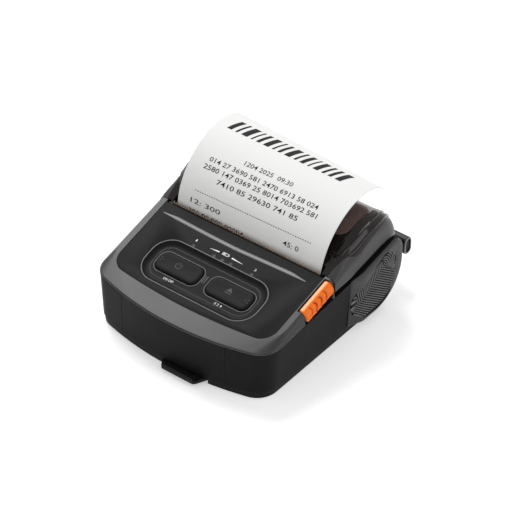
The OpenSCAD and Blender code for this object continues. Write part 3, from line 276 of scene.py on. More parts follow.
def buildWindowMask():
    # 1 inside a window with round front corners that runs on to the rear, 0 outside
    group, given, out = newGroup("windowMask", {"half": 0.04, "from": 0.015, "corner": 0.006, "soft": 0.0001},
                                 {"mask": "Float"})
    calc = partial(mathNode, group)
    split = newNode(group, "SeparateXYZ", {0: newNode(group, "TexCoord", {})["Object"]})
    side = calc("SUBTRACT", calc("ABSOLUTE", split["X"]), calc("SUBTRACT", given["half"], given["corner"]))
    ahead = calc("SUBTRACT", calc("ADD", given["from"], given["corner"]), split["Y"])
    side, ahead = calc("MAXIMUM", side, 0.0), calc("MAXIMUM", ahead, 0.0)
    reach = calc("SQRT", calc("ADD", calc("MULTIPLY", side, side), calc("MULTIPLY", ahead, ahead)))
    inside = calc("DIVIDE", calc("SUBTRACT", given["corner"], reach), given["soft"])
    feed(group, out, {"mask": calc("ADD", inside, 0.5, clamp=True)})
    return group


def smokedShell():
    # Near black, with a brown window that lets the roll show a little; the brown is partly the smoke's own tint and
    # partly painted light from the lit roll behind
    material = moulded("smokedShell", shellLook)
    tree = material.node_tree
    shader = tree.nodes["Principled BSDF"].inputs
    window = {key: shellWindow[key] * mm for key in ("half", "from", "corner", "soft")}
    mask = groupNode(tree, buildWindowMask(), window)["mask"]
    base = shader["Base Color"].links[0].from_socket
    clear = mathNode(tree, "MULTIPLY", mask, shellWindow["seeThrough"])
    # Partly painted light: the window is mixed towards brown to stand in for the lit roll behind the smoke
    feed(tree, shader, {"Base Color": mixNode(tree, mask, base, colour(shellWindow["brown"])),
                        "Alpha": mathNode(tree, "SUBTRACT", 1.0, clear)})
    return material


materials["smokedShell"] = smokedShell()
print("materials made")


def slotLook(slot):
    # case_black is dressed as caseBlack, and the sockets share the steel of the frame
    first, *rest = {"socket_steel": "frame_steel"}.get(slot, slot).split("_")
    return first + "".join(word.capitalize() for word in rest)


nodeSlot = {s["node"]: s["material_slot"] for s in frame["record"]["subparts"]}
for name, obj in nodes.items():
    obj.data.materials.clear()
    obj.data.materials.append(materials[slotLook(nodeSlot[name])])
print("CAD nodes dressed")


# Modelling helpers: a primitive is added, then shaped and finished

def turnFacesOut():
    bpy.ops.mesh.select_all(action="SELECT")
    bpy.ops.mesh.normals_make_consistent(inside=False)


def placedGrid(name, across, along, place, closed=False, capped=False, keep=None):
    # A grid whose points are put in place row by row; closed joins its two sides, capped fills its open ends,
    # and keep says which of its cells stay
    deselectAll()
    bpy.ops.mesh.primitive_grid_add(x_subdivisions=across, y_subdivisions=along, size=1)
    obj = added(name)
    row = across + 1
    for k, vertex in enumerate(obj.data.vertices):
        vertex.co = Vector(place(k % row / across, k // row / along)) * mm
    if keep:
        editMesh()
        bpy.ops.mesh.select_mode(type="FACE")
        bpy.ops.mesh.select_all(action="DESELECT")
        bpy.ops.object.mode_set(mode="OBJECT")
        for k, face in enumerate(obj.data.polygons):
            face.select = not keep(k % across, k // across)
        bpy.ops.object.mode_set(mode="EDIT")
        bpy.ops.mesh.delete(type="FACE")
        bpy.ops.mesh.select_mode(type="VERT")
    editMesh()
    bpy.ops.mesh.remove_doubles(threshold=0.002 * mm)
    if capped:
        bpy.ops.mesh.select_all(action="DESELECT")
        bpy.ops.mesh.select_mode(type="EDGE")
        bpy.ops.mesh.select_non_manifold(extend=False, use_wire=False, use_multi_face=False,
                                         use_non_contiguous=False, use_verts=False)
        bpy.ops.mesh.fill_holes(sides=0)
    if closed or capped:
        turnFacesOut()
    bpy.ops.object.mode_set(mode="OBJECT")
    return obj


def outlineSolid(name, points, low, high):
    # An outline drawn on the flat, then extruded upwards
    deselectAll()
    bpy.ops.mesh.primitive_circle_add(vertices=len(points), radius=mm, fill_type="NGON")
    obj = added(name)
    for vertex, point in zip(obj.data.vertices, points):
        vertex.co = (point[0] * mm, point[1] * mm, low * mm)
    editMesh()
    bpy.ops.mesh.extrude_region_move(TRANSFORM_OT_translate={"value": (0, 0, (high - low) * mm)})
    turnFacesOut()
    bpy.ops.object.mode_set(mode="OBJECT")
    return obj


def useModifier(obj, kind, **settings):
    pickOnly(obj)
    setAll(obj.modifiers.new("work", kind), settings)
    bpy.ops.object.modifier_apply(modifier="work")


def cutWith(obj, tool, operation="DIFFERENCE"):
    useModifier(obj, "BOOLEAN", object=tool, operation=operation, solver="EXACT")
    bpy.data.objects.remove(tool)
    return obj


def roundEdges(obj, width, segments=2, angle=30):
    useModifier(obj, "BEVEL", width=width * mm, segments=segments, limit_method="ANGLE",
                angle_limit=radians(angle), use_clamp_overlap=True)


def thicken(obj, thickness, offset=0.0):
    useModifier(obj, "SOLIDIFY", thickness=thickness * mm, offset=offset)


def joinAll(pieces, name):
    deselectAll()
    for piece in pieces:
        piece.select_set(True)
    bpy.context.view_layer.objects.active = pieces[0]
    if len(pieces) > 1:
        bpy.ops.object.join()
    return added(name)


def ownCopy(node, name):
    # A copy of a CAD node with its doubles merged and its flat faces made whole
    obj = bpy.data.objects.new(name, nodes[node].data.copy())
    scene.collection.objects.link(obj)
    pickOnly(obj)
    editMesh()
    bpy.ops.mesh.remove_doubles(threshold=0.001 * mm)
    bpy.ops.mesh.dissolve_limited(angle_limit=radians(0.2))
    bpy.ops.object.mode_set(mode="OBJECT")
    return obj


def partOfNode(node, name, middle, size):
    # What a box holds of a CAD node's mesh
    obj = ownCopy(node, name)
    deselectAll()
    bpy.ops.mesh.primitive_cube_add(size=1, location=[v * mm for v in middle], scale=[v * mm for v in size])
    return cutWith(obj, bpy.context.object, "INTERSECT")


def paintFaces(obj, names, pick):
    # Several materials on one piece: pick gives a face's number in the list, from its middle in mm
    obj.data.materials.clear()
    for name in names:
        obj.data.materials.append(materials[name])
    for face in obj.data.polygons:
        face.material_index = int(pick(*(v / mm for v in face.center), face))


def finish(obj, material, body, replaced=(), angle=35):
    pickOnly(obj)
    bpy.ops.object.shade_smooth_by_angle(angle=radians(angle))
    if material:
        obj.data.materials.clear()
        obj.data.materials.append(materials[material])
    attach(obj, body)
    if replaced:
        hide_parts(*replaced)


def pillPoints(size, corner, inset, centre, steps=12):
    w, h, r = size[0] / 2 - inset, size[1] / 2 - inset, max(corner - inset, 0.05)
    points = []
    for k, (sx, sy) in enumerate(((1, 1), (-1, 1), (-1, -1), (1, -1))):
        points += arcPoints((centre[0] + sx * (w - r), centre[1] + sy * (h - r)), r, 90 * k, 90 * k + 90, steps)
    return points


def pillRings(name, size, corner, centre, profile, capped=True):
    # Rings of one rounded outline, each with its own inset and height
    rings = [pillPoints(size, corner, inset, centre) for inset, height in profile]
    count = len(rings[0])

    def place(s, t):
        k = round(t * (len(profile) - 1))
        point = rings[k][round(s * count) % count]
        return point[0], point[1], profile[k][1]
    return placedGrid(name, count, len(profile) - 1, place, closed=True, capped=capped)


# Receipt: it rises from the print head and curls back about an axis that leans a little

receipt = {"half": 39.75, "length": 70.0, "curl": 29.7, "lean": 3.4, "y": -0.5, "z": 32.7, "thick": 0.2, "cut": 0.5,
           "across": 100, "along": 48}


def onReceipt(u, v, off=0.0):
    lean = radians(receipt["lean"])
    along = u * cos(lean) - v * sin(lean)
    up = u * sin(lean) + v * cos(lean)
    turn = max(up, 0) / receipt["curl"]
    radius = receipt["curl"] + off
    rise = min(up, 0) + radius * sin(turn)
    return Vector((along * cos(lean) + rise * sin(lean),
                   receipt["y"] + receipt["curl"] - radius * cos(turn),
                   receipt["z"] - along * sin(lean) + rise * cos(lean)))


def makeReceipt():
    def place(s, t):
        # The torn end has small teeth
        cut = receipt["cut"] * (round(s * receipt["across"]) % 2) * (t > 0.999)
        return onReceipt((2 * s - 1) * receipt["half"], t * receipt["length"] - cut)
    obj = placedGrid("receiptSheet", receipt["across"], receipt["along"], place)
    thicken(obj, receipt["thick"])
    finish(obj, "paperWhite", "cover", replaced=("receipt",))


# Print on the receipt: a row of bars for a heading, then rows of plain numbers

receiptPrint = {
    "off": 0.15, "high": 2.3,
    "bars": {"from": -34.0, "to": 26.5, "low": 48.6, "high": 57.6, "slant": 0.25,
             "widths": (2.4, 1.2, 3.2, 0.9, 1.8, 2.8, 1.0, 1.6, 3.0, 1.2, 2.2, 0.9, 2.6, 1.4, 1.8, 3.0)},
    "rows": [("1204 2025  09:30", -15.0, 10.6, 35.4), ("014 27 3690 581 2470 6913 58 024", -31.0, 27.0, 30.6),
             ("2580 147 0369 25 8014 703692 581", -32.0, 28.6, 26.8), ("7410 85 29630 741 85", -22.8, 20.8, 22.4),
             ("12: 300", -33.0, -16.5, 10.1), ("45: 0", 18.0, 26.4, 10.2), ("300 00 000 00004", -33.4, -2.8, 4.9)],
    "dashes": {"from": -31.8, "to": 32.0, "v": 15.0, "pitch": 1.3, "wide": 0.75, "high": 0.32},
}


def numberRow(text, left, right, v, high, place):
    # Digits drawn flat, sized to their row and laid on a surface
    deselectAll()
    bpy.ops.object.text_add()
    row = bpy.context.object
    row.data.body = text
    row.data.resolution_u = 2
    row.data.offset = 0.004
    pickOnly(row)
    bpy.ops.object.convert(target="MESH")
    row = bpy.context.object
    xs = [p.co.x for p in row.data.vertices]
    ys = [p.co.y for p in row.data.vertices]
    wide, tall = max(xs) - min(xs), max(ys) - min(ys)
    for vertex in row.data.vertices:
        u = left + (vertex.co.x - min(xs)) / wide * (right - left)
        vertex.co = place(u, v + ((vertex.co.y - min(ys)) / tall - 0.5) * high) * mm
    return row


def makePrint():
    look = receiptPrint
    ink = lambda u, v: onReceipt(u, v, look["off"])
    pieces = [numberRow(*row, look["high"], ink) for row in look["rows"]]
    bars = look["bars"]
    gap = (bars["to"] - bars["from"] - sum(bars["widths"])) / (len(bars["widths"]) - 1)
    u = bars["from"]
    for width in bars["widths"]:
        def place(s, t, u=u, width=width):
            v = bars["low"] + (bars["high"] - bars["low"]) * t
            return ink(u + width * s + bars["slant"] * (v - bars["low"]), v)
        pieces.append(placedGrid("bar", 2, 8, place))
        u += width + gap
    dashes = look["dashes"]
    wide, high = dashes["wide"], dashes["high"]
    for i in range(int((dashes["to"] - dashes["from"]) / dashes["pitch"])):
        u = dashes["from"] + i * dashes["pitch"]
        pieces.append(placedGrid("dash", 1, 1, lambda s, t: ink(u + wide * s, dashes["v"] + high * t)))
    obj = joinAll(pieces, "receiptPrint")
    finish(obj, "printInk", "cover")


makeReceipt()
makePrint()
print("receipt printed")


# Side caps: a crowned shell with a recessed pad of nested ribs

cap = {"centre": (25.6, 21.0), "front": 9.7, "base": 3.6, "frontTop": 30.2, "slopeEnd": (38.8, 36.2),
       "bucket": (26.2, 24.0), "bucketR": 20.4, "corner": (39.4, 29.0), "cornerR": 7.2,
       "seat": 47.1, "out": 51.3, "proud": 0.5, "rings": 80, "turns": 400, "blend": 9.0, "darkEdge": 0.4,
       "caseSide": [(3.6, 47.3), (30.2, 49.2), (37, 49.3)],
       "profile": [(0.2, 47.1), (0.2, 49.0), (0.35, 49.9), (0.75, 50.6), (1.4, 51.0), (2.4, 51.24), (3.6, 51.3)]}
gripPad = {"pitch": 1.12, "depth": 0.7, "sunk": 0.12, "edge": 0.5, "fade": 0.9, "lightAbove": 0.45, "margin": 0.2,
           "top": (31.0, 26.4), "spine": (-0.84, -0.54), "slope": 0.36, "turnOver": 3,
           "circles": [((33.4, 25.8), 7.0), ((19.8, 15.8), 9.0), ((27.5, 18.0), 11.4)]}


def capOutline():
    front, base = cap["front"], cap["base"]
    return ([(front, base + 0.8), (front, cap["frontTop"]), cap["slopeEnd"]]
            + arcPoints(cap["corner"], cap["cornerR"], 85, 0, 16)
            + arcPoints(cap["bucket"], cap["bucketR"], 0, -90, 32) + [(front + 1, base)])


def reachOf(outline, centre, angle):
    # Distance from a centre to an outline in one direction
    dx, dy = cos(angle), sin(angle)
    best = 0.0
    for (ax, ay), (bx, by) in zip(outline, outline[1:] + outline[:1]):
        ex, ey = bx - ax, by - ay
        cross = dx * ey - dy * ex
        if abs(cross) < 1e-9:
            continue
        t = ((ax - centre[0]) * ey - (ay - centre[1]) * ex) / cross
        u = ((ax - centre[0]) * dy - (ay - centre[1]) * dx) / cross
        if t > 0 and -1e-6 <= u <= 1 + 1e-6:
            best = max(best, t)
    return best


def hullOf(points):
    points = sorted(set(points))
    def half(sequence):
        line = []
        for p in sequence:
            while len(line) > 1 and ((line[-1][0] - line[-2][0]) * (p[1] - line[-2][1])
                                     - (line[-1][1] - line[-2][1]) * (p[0] - line[-2][0])) <= 0:
                line.pop()
            line.append(p)
        return line[:-1]
    return half(points) + half(points[::-1])


def ribHeight(y, z):
    # Nested ribs: arms that open from a slanting spine, and arcs round the spine's upper end
    dy, dz = y - gripPad["top"][0], z - gripPad["top"][1]
    sy, sz = gripPad["spine"]
    down = dy * sy + dz * sz
    side = abs(dy * -sz + dz * sy)
    arms = down + gripPad["slope"] * side
    arcs = -hypot(dy, dz)
    rounded = smoothStep(-down / gripPad["turnOver"])
    level = arms if arms > 0 or down > 0 else arcs * rounded + arms * (1 - rounded)
    return 0.5 - 0.5 * cos(2 * pi * level / gripPad["pitch"])


def makeCap(side, name, node):
    outline = capOutline()
    padOutline = hullOf([p for c, r in gripPad["circles"] for p in arcPoints(c, r, 0, 360, 96)])
    centre, out, seat, rings, count = cap["centre"], cap["out"], cap["seat"], cap["rings"], cap["turns"]
    sunk, depth = gripPad["sunk"], gripPad["depth"]
    angles = [2 * pi * i / count for i in range(count + 1)]
    for y, z in outline[:3] + outline[-1:]:
        # The grid gets a row through each sharp corner
        corner = atan2(z - centre[1], y - centre[0]) % (2 * pi)
        angles[round(corner / (2 * pi) * count)] = corner
    pad = [reachOf(padOutline, centre, t) for t in angles]
    rim = [reachOf(outline, centre, t) for t in angles]
    face = cap["profile"][::-1]
    wall = [(0.0, -sunk), (0.15, -sunk), (0.35, -0.05), (gripPad["edge"], 0.0)]
    total = rings + len(wall) + len(face)

    def place(s, t):
        # Rings of the pad from its centre outwards, then its wall, then the cap's crowned face down to the seat
        i, k = round(s * count), round(t * total)
        ca, sa = cos(angles[i]), sin(angles[i])
        if k <= rings:
            radius = pad[i] * k / rings
            ends = smoothStep((1 - k / rings) * pad[i] / gripPad["fade"])
            rib = ribHeight(centre[0] + radius * ca, centre[1] + radius * sa)
            x = out - sunk - depth * (1 - rib) * ends
        elif k <= rings + len(wall):
            off, x = wall[k - rings - 1]
            radius, x = pad[i] + off, out + x
        else:
            inset, x = face[k - rings - len(wall) - 1]
            radius = rim[i] - inset
        y, z = centre[0] + radius * ca, centre[1] + radius * sa
        caseSide = readTable(cap["caseSide"], z)
        flush = caseSide + cap["proud"]
        full = flush + (out - flush) * smoothStep((y - cap["front"]) / cap["blend"])
        if k <= rings + len(wall):
            x = full - (out - x) * min(1, (full - caseSide) / (sunk + depth))
        else:
            x = seat + (x - seat) * (full - seat) / (out - seat)
        return side * x, y, z

    # Faces in the grooves between the ribs get painted shade; a thin band along the cap's outline is its dark seam
    def shade(x, y, z, face):
        far = hypot(y - centre[0], z - centre[1])
        angle = atan2(z - centre[1], y - centre[0])
        if far < reachOf(padOutline, centre, angle) - gripPad["margin"]:
            return 1 if ribHeight(y, z) > gripPad["lightAbove"] else 2
        return 2 if far > reachOf(outline, centre, angle) - cap["darkEdge"] else 0
    obj = placedGrid(name, count, total, place, closed=True, capped=True)
    paintFaces(obj, ("capGrey", "padGrey", "padDark"), shade)
    finish(obj, None, "case", replaced=(node,), angle=60)


makeCap(1, "rightCap", "right_side_cap")
makeCap(-1, "leftCap", "left_side_cap")
print("side caps ribbed")


# Paper cover: one crowned skin, smoked in the middle and grey at the sides and the rear

cover = {"y": 27.5, "z": 32.6, "r": 20.0, "slope": 30.0, "lip": 1.8, "front": -1.5, "slot": 41.4, "half": 48.95,
         "shellThick": 0.9, "frameThick": 1.7, "frameRound": 0.15, "top": 38.0,
         "inner": {"below": 1.1, "thick": 1.2, "fromRow": 5}, "window": {"half": 41.5, "from": 14.2, "corner": 5.6},
         "shoulder": {"over": 18.0, "start": (44.0, -2.0), "deep": (2.6, 5.8)},
         "rearAngle": [(0, -4.9), (30, -3.2), (45, 5.3), (60, 12.7), (75, 18.5), (90, 23.5)],
         "lowEdge": [(-20, 31.74), (9.7, 32.76), (37.4, 37.3)], "hinge": (38.8, 29.3, 7.9), "hingeTo": 46.6,
         "shellEdge": [(-1.5, 8), (2.3, 17), (7, 33), (10.6, 45), (12.5, 58), (14, 67), (17, 78), (23.4, 82), (29, 75),
                       (33, 62), (38, 42), (42, 26), (45.5, 12)],
         "darkEdge": {"from": 47, "to": 45, "high": 1.0},
         "knuckles": ((0, 50.5, 29), (120, 8, 11.8)), "cheeks": ((0, 5, 33), (120, 16, 12))}
coverRidges = {
    "middle": {"high": 0.55, "wide": 0.42, "front": 5.2, "corner": 6.0,
               "at": [(0, 43.4), (7, 44.1), (11, 44.7), (15, 45.5), (20, 45.9), (26, 45.9), (32, 45.2), (38, 43.6),
                      (43.5, 41.2)]},
    "outer": {"high": 0.6, "wide": 0.42, "front": -30.0, "corner": 6.0,
              "at": [(0, 45.3), (6, 46.4), (11, 47.0), (16, 47.5), (21, 47.8), (27, 47.8), (33, 47.2), (38.5, 45.6),
                     (43.8, 43.2)]},
    "window": {"high": 0.3, "wide": 0.35, "front": 14.6, "corner": 6.0,
               "at": [(0, 42.3), (20, 42.3), (33, 42.0), (44, 40.8)]}}


def shoulder(y):
    # Where the shoulder starts and how deep it drops: it is shallow at the front edge
    look = cover["shoulder"]
    t = smoothStep((y - cover["front"]) / look["over"])
    return look["start"][0] + look["start"][1] * t, look["deep"][0] + look["deep"][1] * t


def coverPoint(turn, front, stage, share):
    # Stage 0 runs from the front edge to the rear edge of the smoked shell, stage 1 on to the lower rear edge
    slope, angle = radians(cover["slope"]), 90 + cover["slope"]
    midY, midZ, y = cover["y"], cover["z"], skin["firstY"]
    for _ in range(skin["rounds"]):
        start, deep = shoulder(y)
        r = cover["r"] - deep * (1 - cos(radians(turn)))
        tangent = (midY + r * cos(radians(angle)), midZ + r * sin(radians(angle)))
        straight = (tangent[0] - front) / cos(slope)
        last = readTable(cover["rearAngle"], turn)
        middle = max(degrees(asin((cover["top"] - midZ) / r)), last + 0.5)
        travel = straight + radians(angle - middle) * r
        travel = share * travel if stage == 0 else travel + share * radians(middle - last) * r
        if travel < straight:
            y = tangent[0] - (straight - travel) * cos(slope)
            z = tangent[1] - (straight - travel) * sin(slope)
        else:
            heading = radians(angle - degrees((travel - straight) / r))
            y, z = midY + r * cos(heading), midZ + r * sin(heading)
    return start + (cover["half"] - start) * sin(radians(turn)), y, z


def lowEdge(y):
    # The cover's lower edge: two straight runs, then an arc round the hinge
    if y <= cover["lowEdge"][-1][0]:
        return readTable(cover["lowEdge"], y)
    hingeY, hingeZ, radius = cover["hinge"]
    return hingeZ + sqrt(max(radius ** 2 - (min(y, cover["hingeTo"]) - hingeY) ** 2, 0.0))


skin = {"flat": 12, "step": 0.3, "shell": 56, "frame": 14, "wall": 6, "rows": 120, "frontRows": 70,
        "frontShare": 0.33, "rearRows": 14, "plainRows": 3, "fadeSide": 6, "fadeEnds": 8, "firstY": 20.0, "rounds": 3}
shellColumns = skin["flat"] + 1 + skin["shell"]
skinHalf = shellColumns + skin["frame"] + skin["wall"]
skinRows = skin["rows"] + skin["rearRows"]


def skinPoint(c, k):
    # Column c counts from the middle to the side and down the wall, row k from the front to the rear
    flat, shell, border = skin["flat"], skin["shell"], skin["frame"]
    rows, frontRows, near = skin["rows"], skin["frontRows"], skin["frontShare"]
    stage, share = 1, (k - rows) / skin["rearRows"]
    if k <= frontRows:
        stage, share = 0, near * k / frontRows
    elif k <= rows:
        stage, share = 0, near + (1 - near) * ((k - frontRows) / (rows - frontRows))
    if c <= flat:
        x, y, z = coverPoint(0, cover["lip"], stage, share)
        return Vector((cover["slot"] * c / flat, y, z))
    if c == flat + 1:
        x, y, z = coverPoint(0, cover["front"], stage, share)
        return Vector((cover["slot"] + skin["step"], y, z))
    y = skin["firstY"]
    step = c - flat - 1
    for _ in range(skin["rounds"]):
        split = readTable(cover["shellEdge"], y)
        if step <= shell:
            turn = split * step / shell
        else:
            turn = min(split + (90 - split) * (step - shell) / border, 90)
        x, y, z = coverPoint(turn, cover["front"], stage, share)
    wall = (step - shell - border) / skin["wall"]
    if wall > 0:
        z -= wall * max(z - lowEdge(y), 0)
    return Vector((x, y, z))


def stepsAlong(points):
    # How far each point of a line lies from its first one, along the line
    far = [0.0]
    for a, b in zip(points, points[1:]):
        far.append(far[-1] + (b - a).length)
    return far


def ridgeLift(across, ahead, rowX, rowAcross, y):
    # Each ridge runs back beside the window and turns a round corner in front of it
    lift = 0.0
    for ridge in coverRidges.values():
        half = readTable(list(zip(rowX, rowAcross)), readTable(ridge["at"], y))
        side, front = across - half + ridge["corner"], ridge["front"] + ridge["corner"] - ahead
        reach = hypot(max(side, 0), max(front, 0)) if max(side, front) > 0 else max(side, front)
        lift += ridge["high"] * exp(-((reach - ridge["corner"]) / ridge["wide"]) ** 2)
    return lift


def coverSkin(name, table, keep):
    return placedGrid(name, 2 * skinHalf, skinRows,
                      lambda s, t: table[round(s * 2 * skinHalf) - skinHalf, round(t * skinRows)], keep=keep)


def fillSkinTables():
    # The plain skin first, then a second one with the ridges raised on it along its normals
    plain = {(c, k): skinPoint(c, k) for k in range(skinRows + 1) for c in range(skinHalf + 1)}
    ahead = stepsAlong([plain[0, k] for k in range(skinRows + 1)])
    smooth, ridged = {}, {}
    for k in range(skinRows + 1):
        row = [plain[c, k] for c in range(skinHalf + 1)]
        across, rowX = stepsAlong(row), [point.x for point in row]
        for c, point in enumerate(row):
            smooth[c, k], smooth[-c, k] = tuple(point), (-point.x, point.y, point.z)
            aside, behind, before = shellColumns - 1 - c, skin["rows"] - k, k - skin["plainRows"]
            if before > 0 and behind > 0 and aside > 0:
                normal = (plain[c + 1, k] - plain[max(c - 1, 0), k]).cross(plain[c, k + 1] - plain[c, k - 1])
                fade = min(aside / skin["fadeSide"], behind / skin["fadeEnds"], before / skin["fadeEnds"], 1)
                lift = ridgeLift(across[c], ahead[k], rowX, across, point.y)
                point = point + normal.normalized() * fade * lift
            ridged[c, k], ridged[-c, k] = tuple(point), (-point.x, point.y, point.z)
    return smooth, ridged


plainSkin, ridgedSkin = fillSkinTables()


def inShell(i, k):
    return k < skin["rows"] and skinHalf - shellColumns <= i < skinHalf + shellColumns


def makeShell():
    obj = coverSkin("coverShell", ridgedSkin, inShell)
    thicken(obj, cover["shellThick"], -1)
    finish(obj, "smokedShell", "cover", replaced=("cover_shell",), angle=40)


def makeCoverFrame():
    # The knuckles come from the CAD node's own rear, the rest from the skin; its low edge is dark
    rear = partOfNode("cover_frame", "knuckles", *cover["knuckles"])
    obj = coverSkin("coverFrame", ridgedSkin, lambda i, k: not inShell(i, k))
    thicken(obj, cover["frameThick"], -1)
    roundEdges(obj, cover["frameRound"], 2, 50)
    obj = joinAll([obj, rear], "coverFrame")
    edge = cover["darkEdge"]
    paintFaces(obj, ("coverGrey", "innerBlack"),
               lambda x, y, z, face: abs(x) > edge["from"] and y < edge["to"] and z - lowEdge(y) < edge["high"])
    finish(obj, None, "cover", replaced=("cover_frame",), angle=40)


def makeCoverInner():
    # The plain skin, moved inwards, with the window left out; the cheeks come from the CAD node
    inner, window = cover["inner"], cover["window"]

    def outsideWindow(i, k):
        x, y = abs(plainSkin[i - skinHalf, k][0]), plainSkin[i - skinHalf, k][1]
        side, ahead = x - window["half"] + window["corner"], window["from"] + window["corner"] - y
        return hypot(max(side, 0), max(ahead, 0)) > window["corner"]
    obj = coverSkin("coverInner", plainSkin,
                    lambda i, k: inShell(i, k) and k >= inner["fromRow"] and outsideWindow(i, k))
    normals = [vertex.normal.copy() for vertex in obj.data.vertices]
    for vertex, normal in zip(obj.data.vertices, normals):
        vertex.co -= normal * inner["below"] * mm
    thicken(obj, inner["thick"], -1)
    obj = joinAll([obj, partOfNode("cover_inner", "cheeks", *cover["cheeks"])], "coverInner")
    finish(obj, "innerBlack", "cover", replaced=("cover_inner",), angle=30)


makeShell()
makeCoverFrame()
makeCoverInner()
print("cover made")


# Control panel: a textured plate with a soft recess, a low crease and small marks

panel = {"z": 39.5, "tilt": 15.1, "wide": 87.6, "front": -45.4, "rear": -3.22, "corner": 8.0, "bow": 280.0,
         "thick": 2.0, "round": 0.3, "recess": (-1.3, -30.4), "recessSize": (61.8, 23.4), "recessCorner": 9.4,
         "wall": [(-0.8, 0.8), (-0.05, 0.04), (0.3, -0.2), (1.2, -0.62), (2.2, -0.9), (3.3, -1.0)],
         "deepFrom": -0.92, "deepTo": -0.1,
         "lights": [-17.6, -5.95, -1.3, 3.35, 15.0], "lightsAt": -17.4, "lightHole": 0.9,
         "crease": [(-41, -9.0), (-31.9, -9.4), (-14.2, -9.9), (0.3, -10.1), (13.9, -9.5), (29.8, -8.9),
                    (38.1, -8.8)],
         "creaseShape": [(-0.5, -0.1), (-0.42, 0.16), (-0.25, 0.3), (0.05, 0.33), (0.5, 0.24), (1.0, 0.1),
                         (1.5, -0.02), (1.6, -0.1)],
         "rimBead": (-0.25, 0.0, 0.24), "footBead": (3.35, -1.0, 0.15), "holeBead": (-0.55, -1.0, 0.2),
         "dividers": [-2.3, -1.3], "dividerSpan": (-31.7, -27.5), "dividerWide": 0.28,
         "dividerShape": [(0, -1.05), (0, -0.9), (0.08, -0.84)]}
panelPlace = Matrix.Translation((0, 0, panel["z"] * mm)) @ Matrix.Rotation(radians(panel["tilt"]), 4, "X")
keys = {"power": -15.4, "feed": 12.8}
keySize = {"pill": ((23.4, 10.4), 3.6), "gap": 0.3,
           "profile": [(-0.8, -3.1), (-0.8, -2.2), (0.0, -2.2), (0.0, -0.75), (0.1, -0.35), (0.35, -0.02),
                       (0.8, 0.16), (1.5, 0.22), (2.4, 0.16), (3.4, 0.08), (4.4, 0.05)]}


def onPanel(obj):
    obj.data.transform(panelPlace)
    return obj


def panelOutline():
    # Bowed front, round front corners and a straight rear, laid out along the slope
    corner, bow, rear = panel["corner"], panel["bow"], panel["rear"]
    half, middle = panel["wide"] / 2, bow + panel["front"]
    cx = half - corner
    cy = middle - sqrt((bow - corner) ** 2 - cx * cx)
    a = degrees(atan2(cy - middle, cx))
    points = (arcPoints((0, middle), bow, -180 - a, a, 24) + arcPoints((cx, cy), corner, a, 0, 12)
              + [(half, rear), (-half, rear)] + arcPoints((-cx, cy), corner, -180, -180 - a, 12)[:-1])
    return [(x, y / cos(radians(panel["tilt"]))) for x, y in points]


def bead(name, size, corner, centre, inset, height, radius):
    ring = [(inset + radius * cos(pi * i / 4), height + radius * sin(pi * i / 4)) for i in range(9)]
    return pillRings(name, size, corner, centre, ring, capped=False)


def sweptRidge(name, line, shape, steps):
    # A cross-section carried along a line, fading to nothing at both ends
    first, last = line[0][0], line[-1][0]

    def place(s, t):
        x = first + (last - first) * s
        dv, height = shape[round(t * len(shape)) % len(shape)]
        swell = smoothStep(min(s, 1 - s) * 9)
        smooth = sum(readTable(line, x + d) for d in (-4, -2, 0, 2, 4)) / 5
        return x, smooth + dv * (0.3 + 0.7 * swell), height * swell if height > 0 else height
    return placedGrid(name, steps, len(shape), place, capped=True)


def makePanel():
    obj = outlineSolid("controlPanel", panelOutline(), -panel["thick"], 0)
    roundEdges(obj, panel["round"], 3, 60)
    place, size, corner = panel["recess"], panel["recessSize"], panel["recessCorner"]
    cutWith(obj, pillRings("recessTool", size, corner, place, panel["wall"]))
    for x in keys.values():
        deep = [(-keySize["gap"], -3), (-keySize["gap"], -0.5)]
        cutWith(obj, pillRings("keyTool", *keySize["pill"], (x, place[1]), deep))
    for x in panel["lights"]:
        deselectAll()
        bpy.ops.mesh.primitive_cylinder_add(vertices=28, radius=panel["lightHole"] * mm, depth=6 * mm,
                                            location=(x * mm, panel["lightsAt"] * mm, 0))
        cutWith(obj, bpy.context.object)
    # Painted shade: faces of the recess wall between these heights are drawn near black
    paintFaces(obj, ("panelBlack", "panelDeep"), lambda x, y, z, face: panel["deepFrom"] < z < panel["deepTo"]
               and abs(x - place[0]) < size[0] / 2 and abs(y - place[1]) < size[1] / 2)
    beads = [bead("rimBead", size, corner, place, *panel["rimBead"]),
              sweptRidge("crease", panel["crease"], panel["creaseShape"], 60)]
    for x in keys.values():
        beads.append(bead("holeBead", *keySize["pill"], (x, place[1]), *panel["holeBead"]))
    for x in panel["dividers"]:
        low, high = panel["dividerSpan"]
        wide = panel["dividerWide"]
        beads.append(pillRings("divider", (wide, high - low), 0.13, (x, (low + high) / 2), panel["dividerShape"]))
    foot = bead("footBead", size, corner, place, *panel["footBead"])
    foot.data.materials.append(materials["panelBlack"])
    obj = joinAll([obj, foot], "controlPanel")
    # The beads, crease and dividers carry a painted highlight
    finish(onPanel(joinAll(beads, "panelLines")), "panelEdge", "case", angle=60)
    finish(onPanel(obj), None, "case", replaced=("control_panel",), angle=35)


def makeKeys():
    for name, x in keys.items():
        centre = (x, panel["recess"][1])
        obj = onPanel(pillRings(name + "Key", *keySize["pill"], centre, keySize["profile"]))
        finish(obj, "keyBlack", name + "_key", replaced=(name + "_button",), angle=40)


# Small marks on the panel and the keys: plain numbers, signs and raised dots

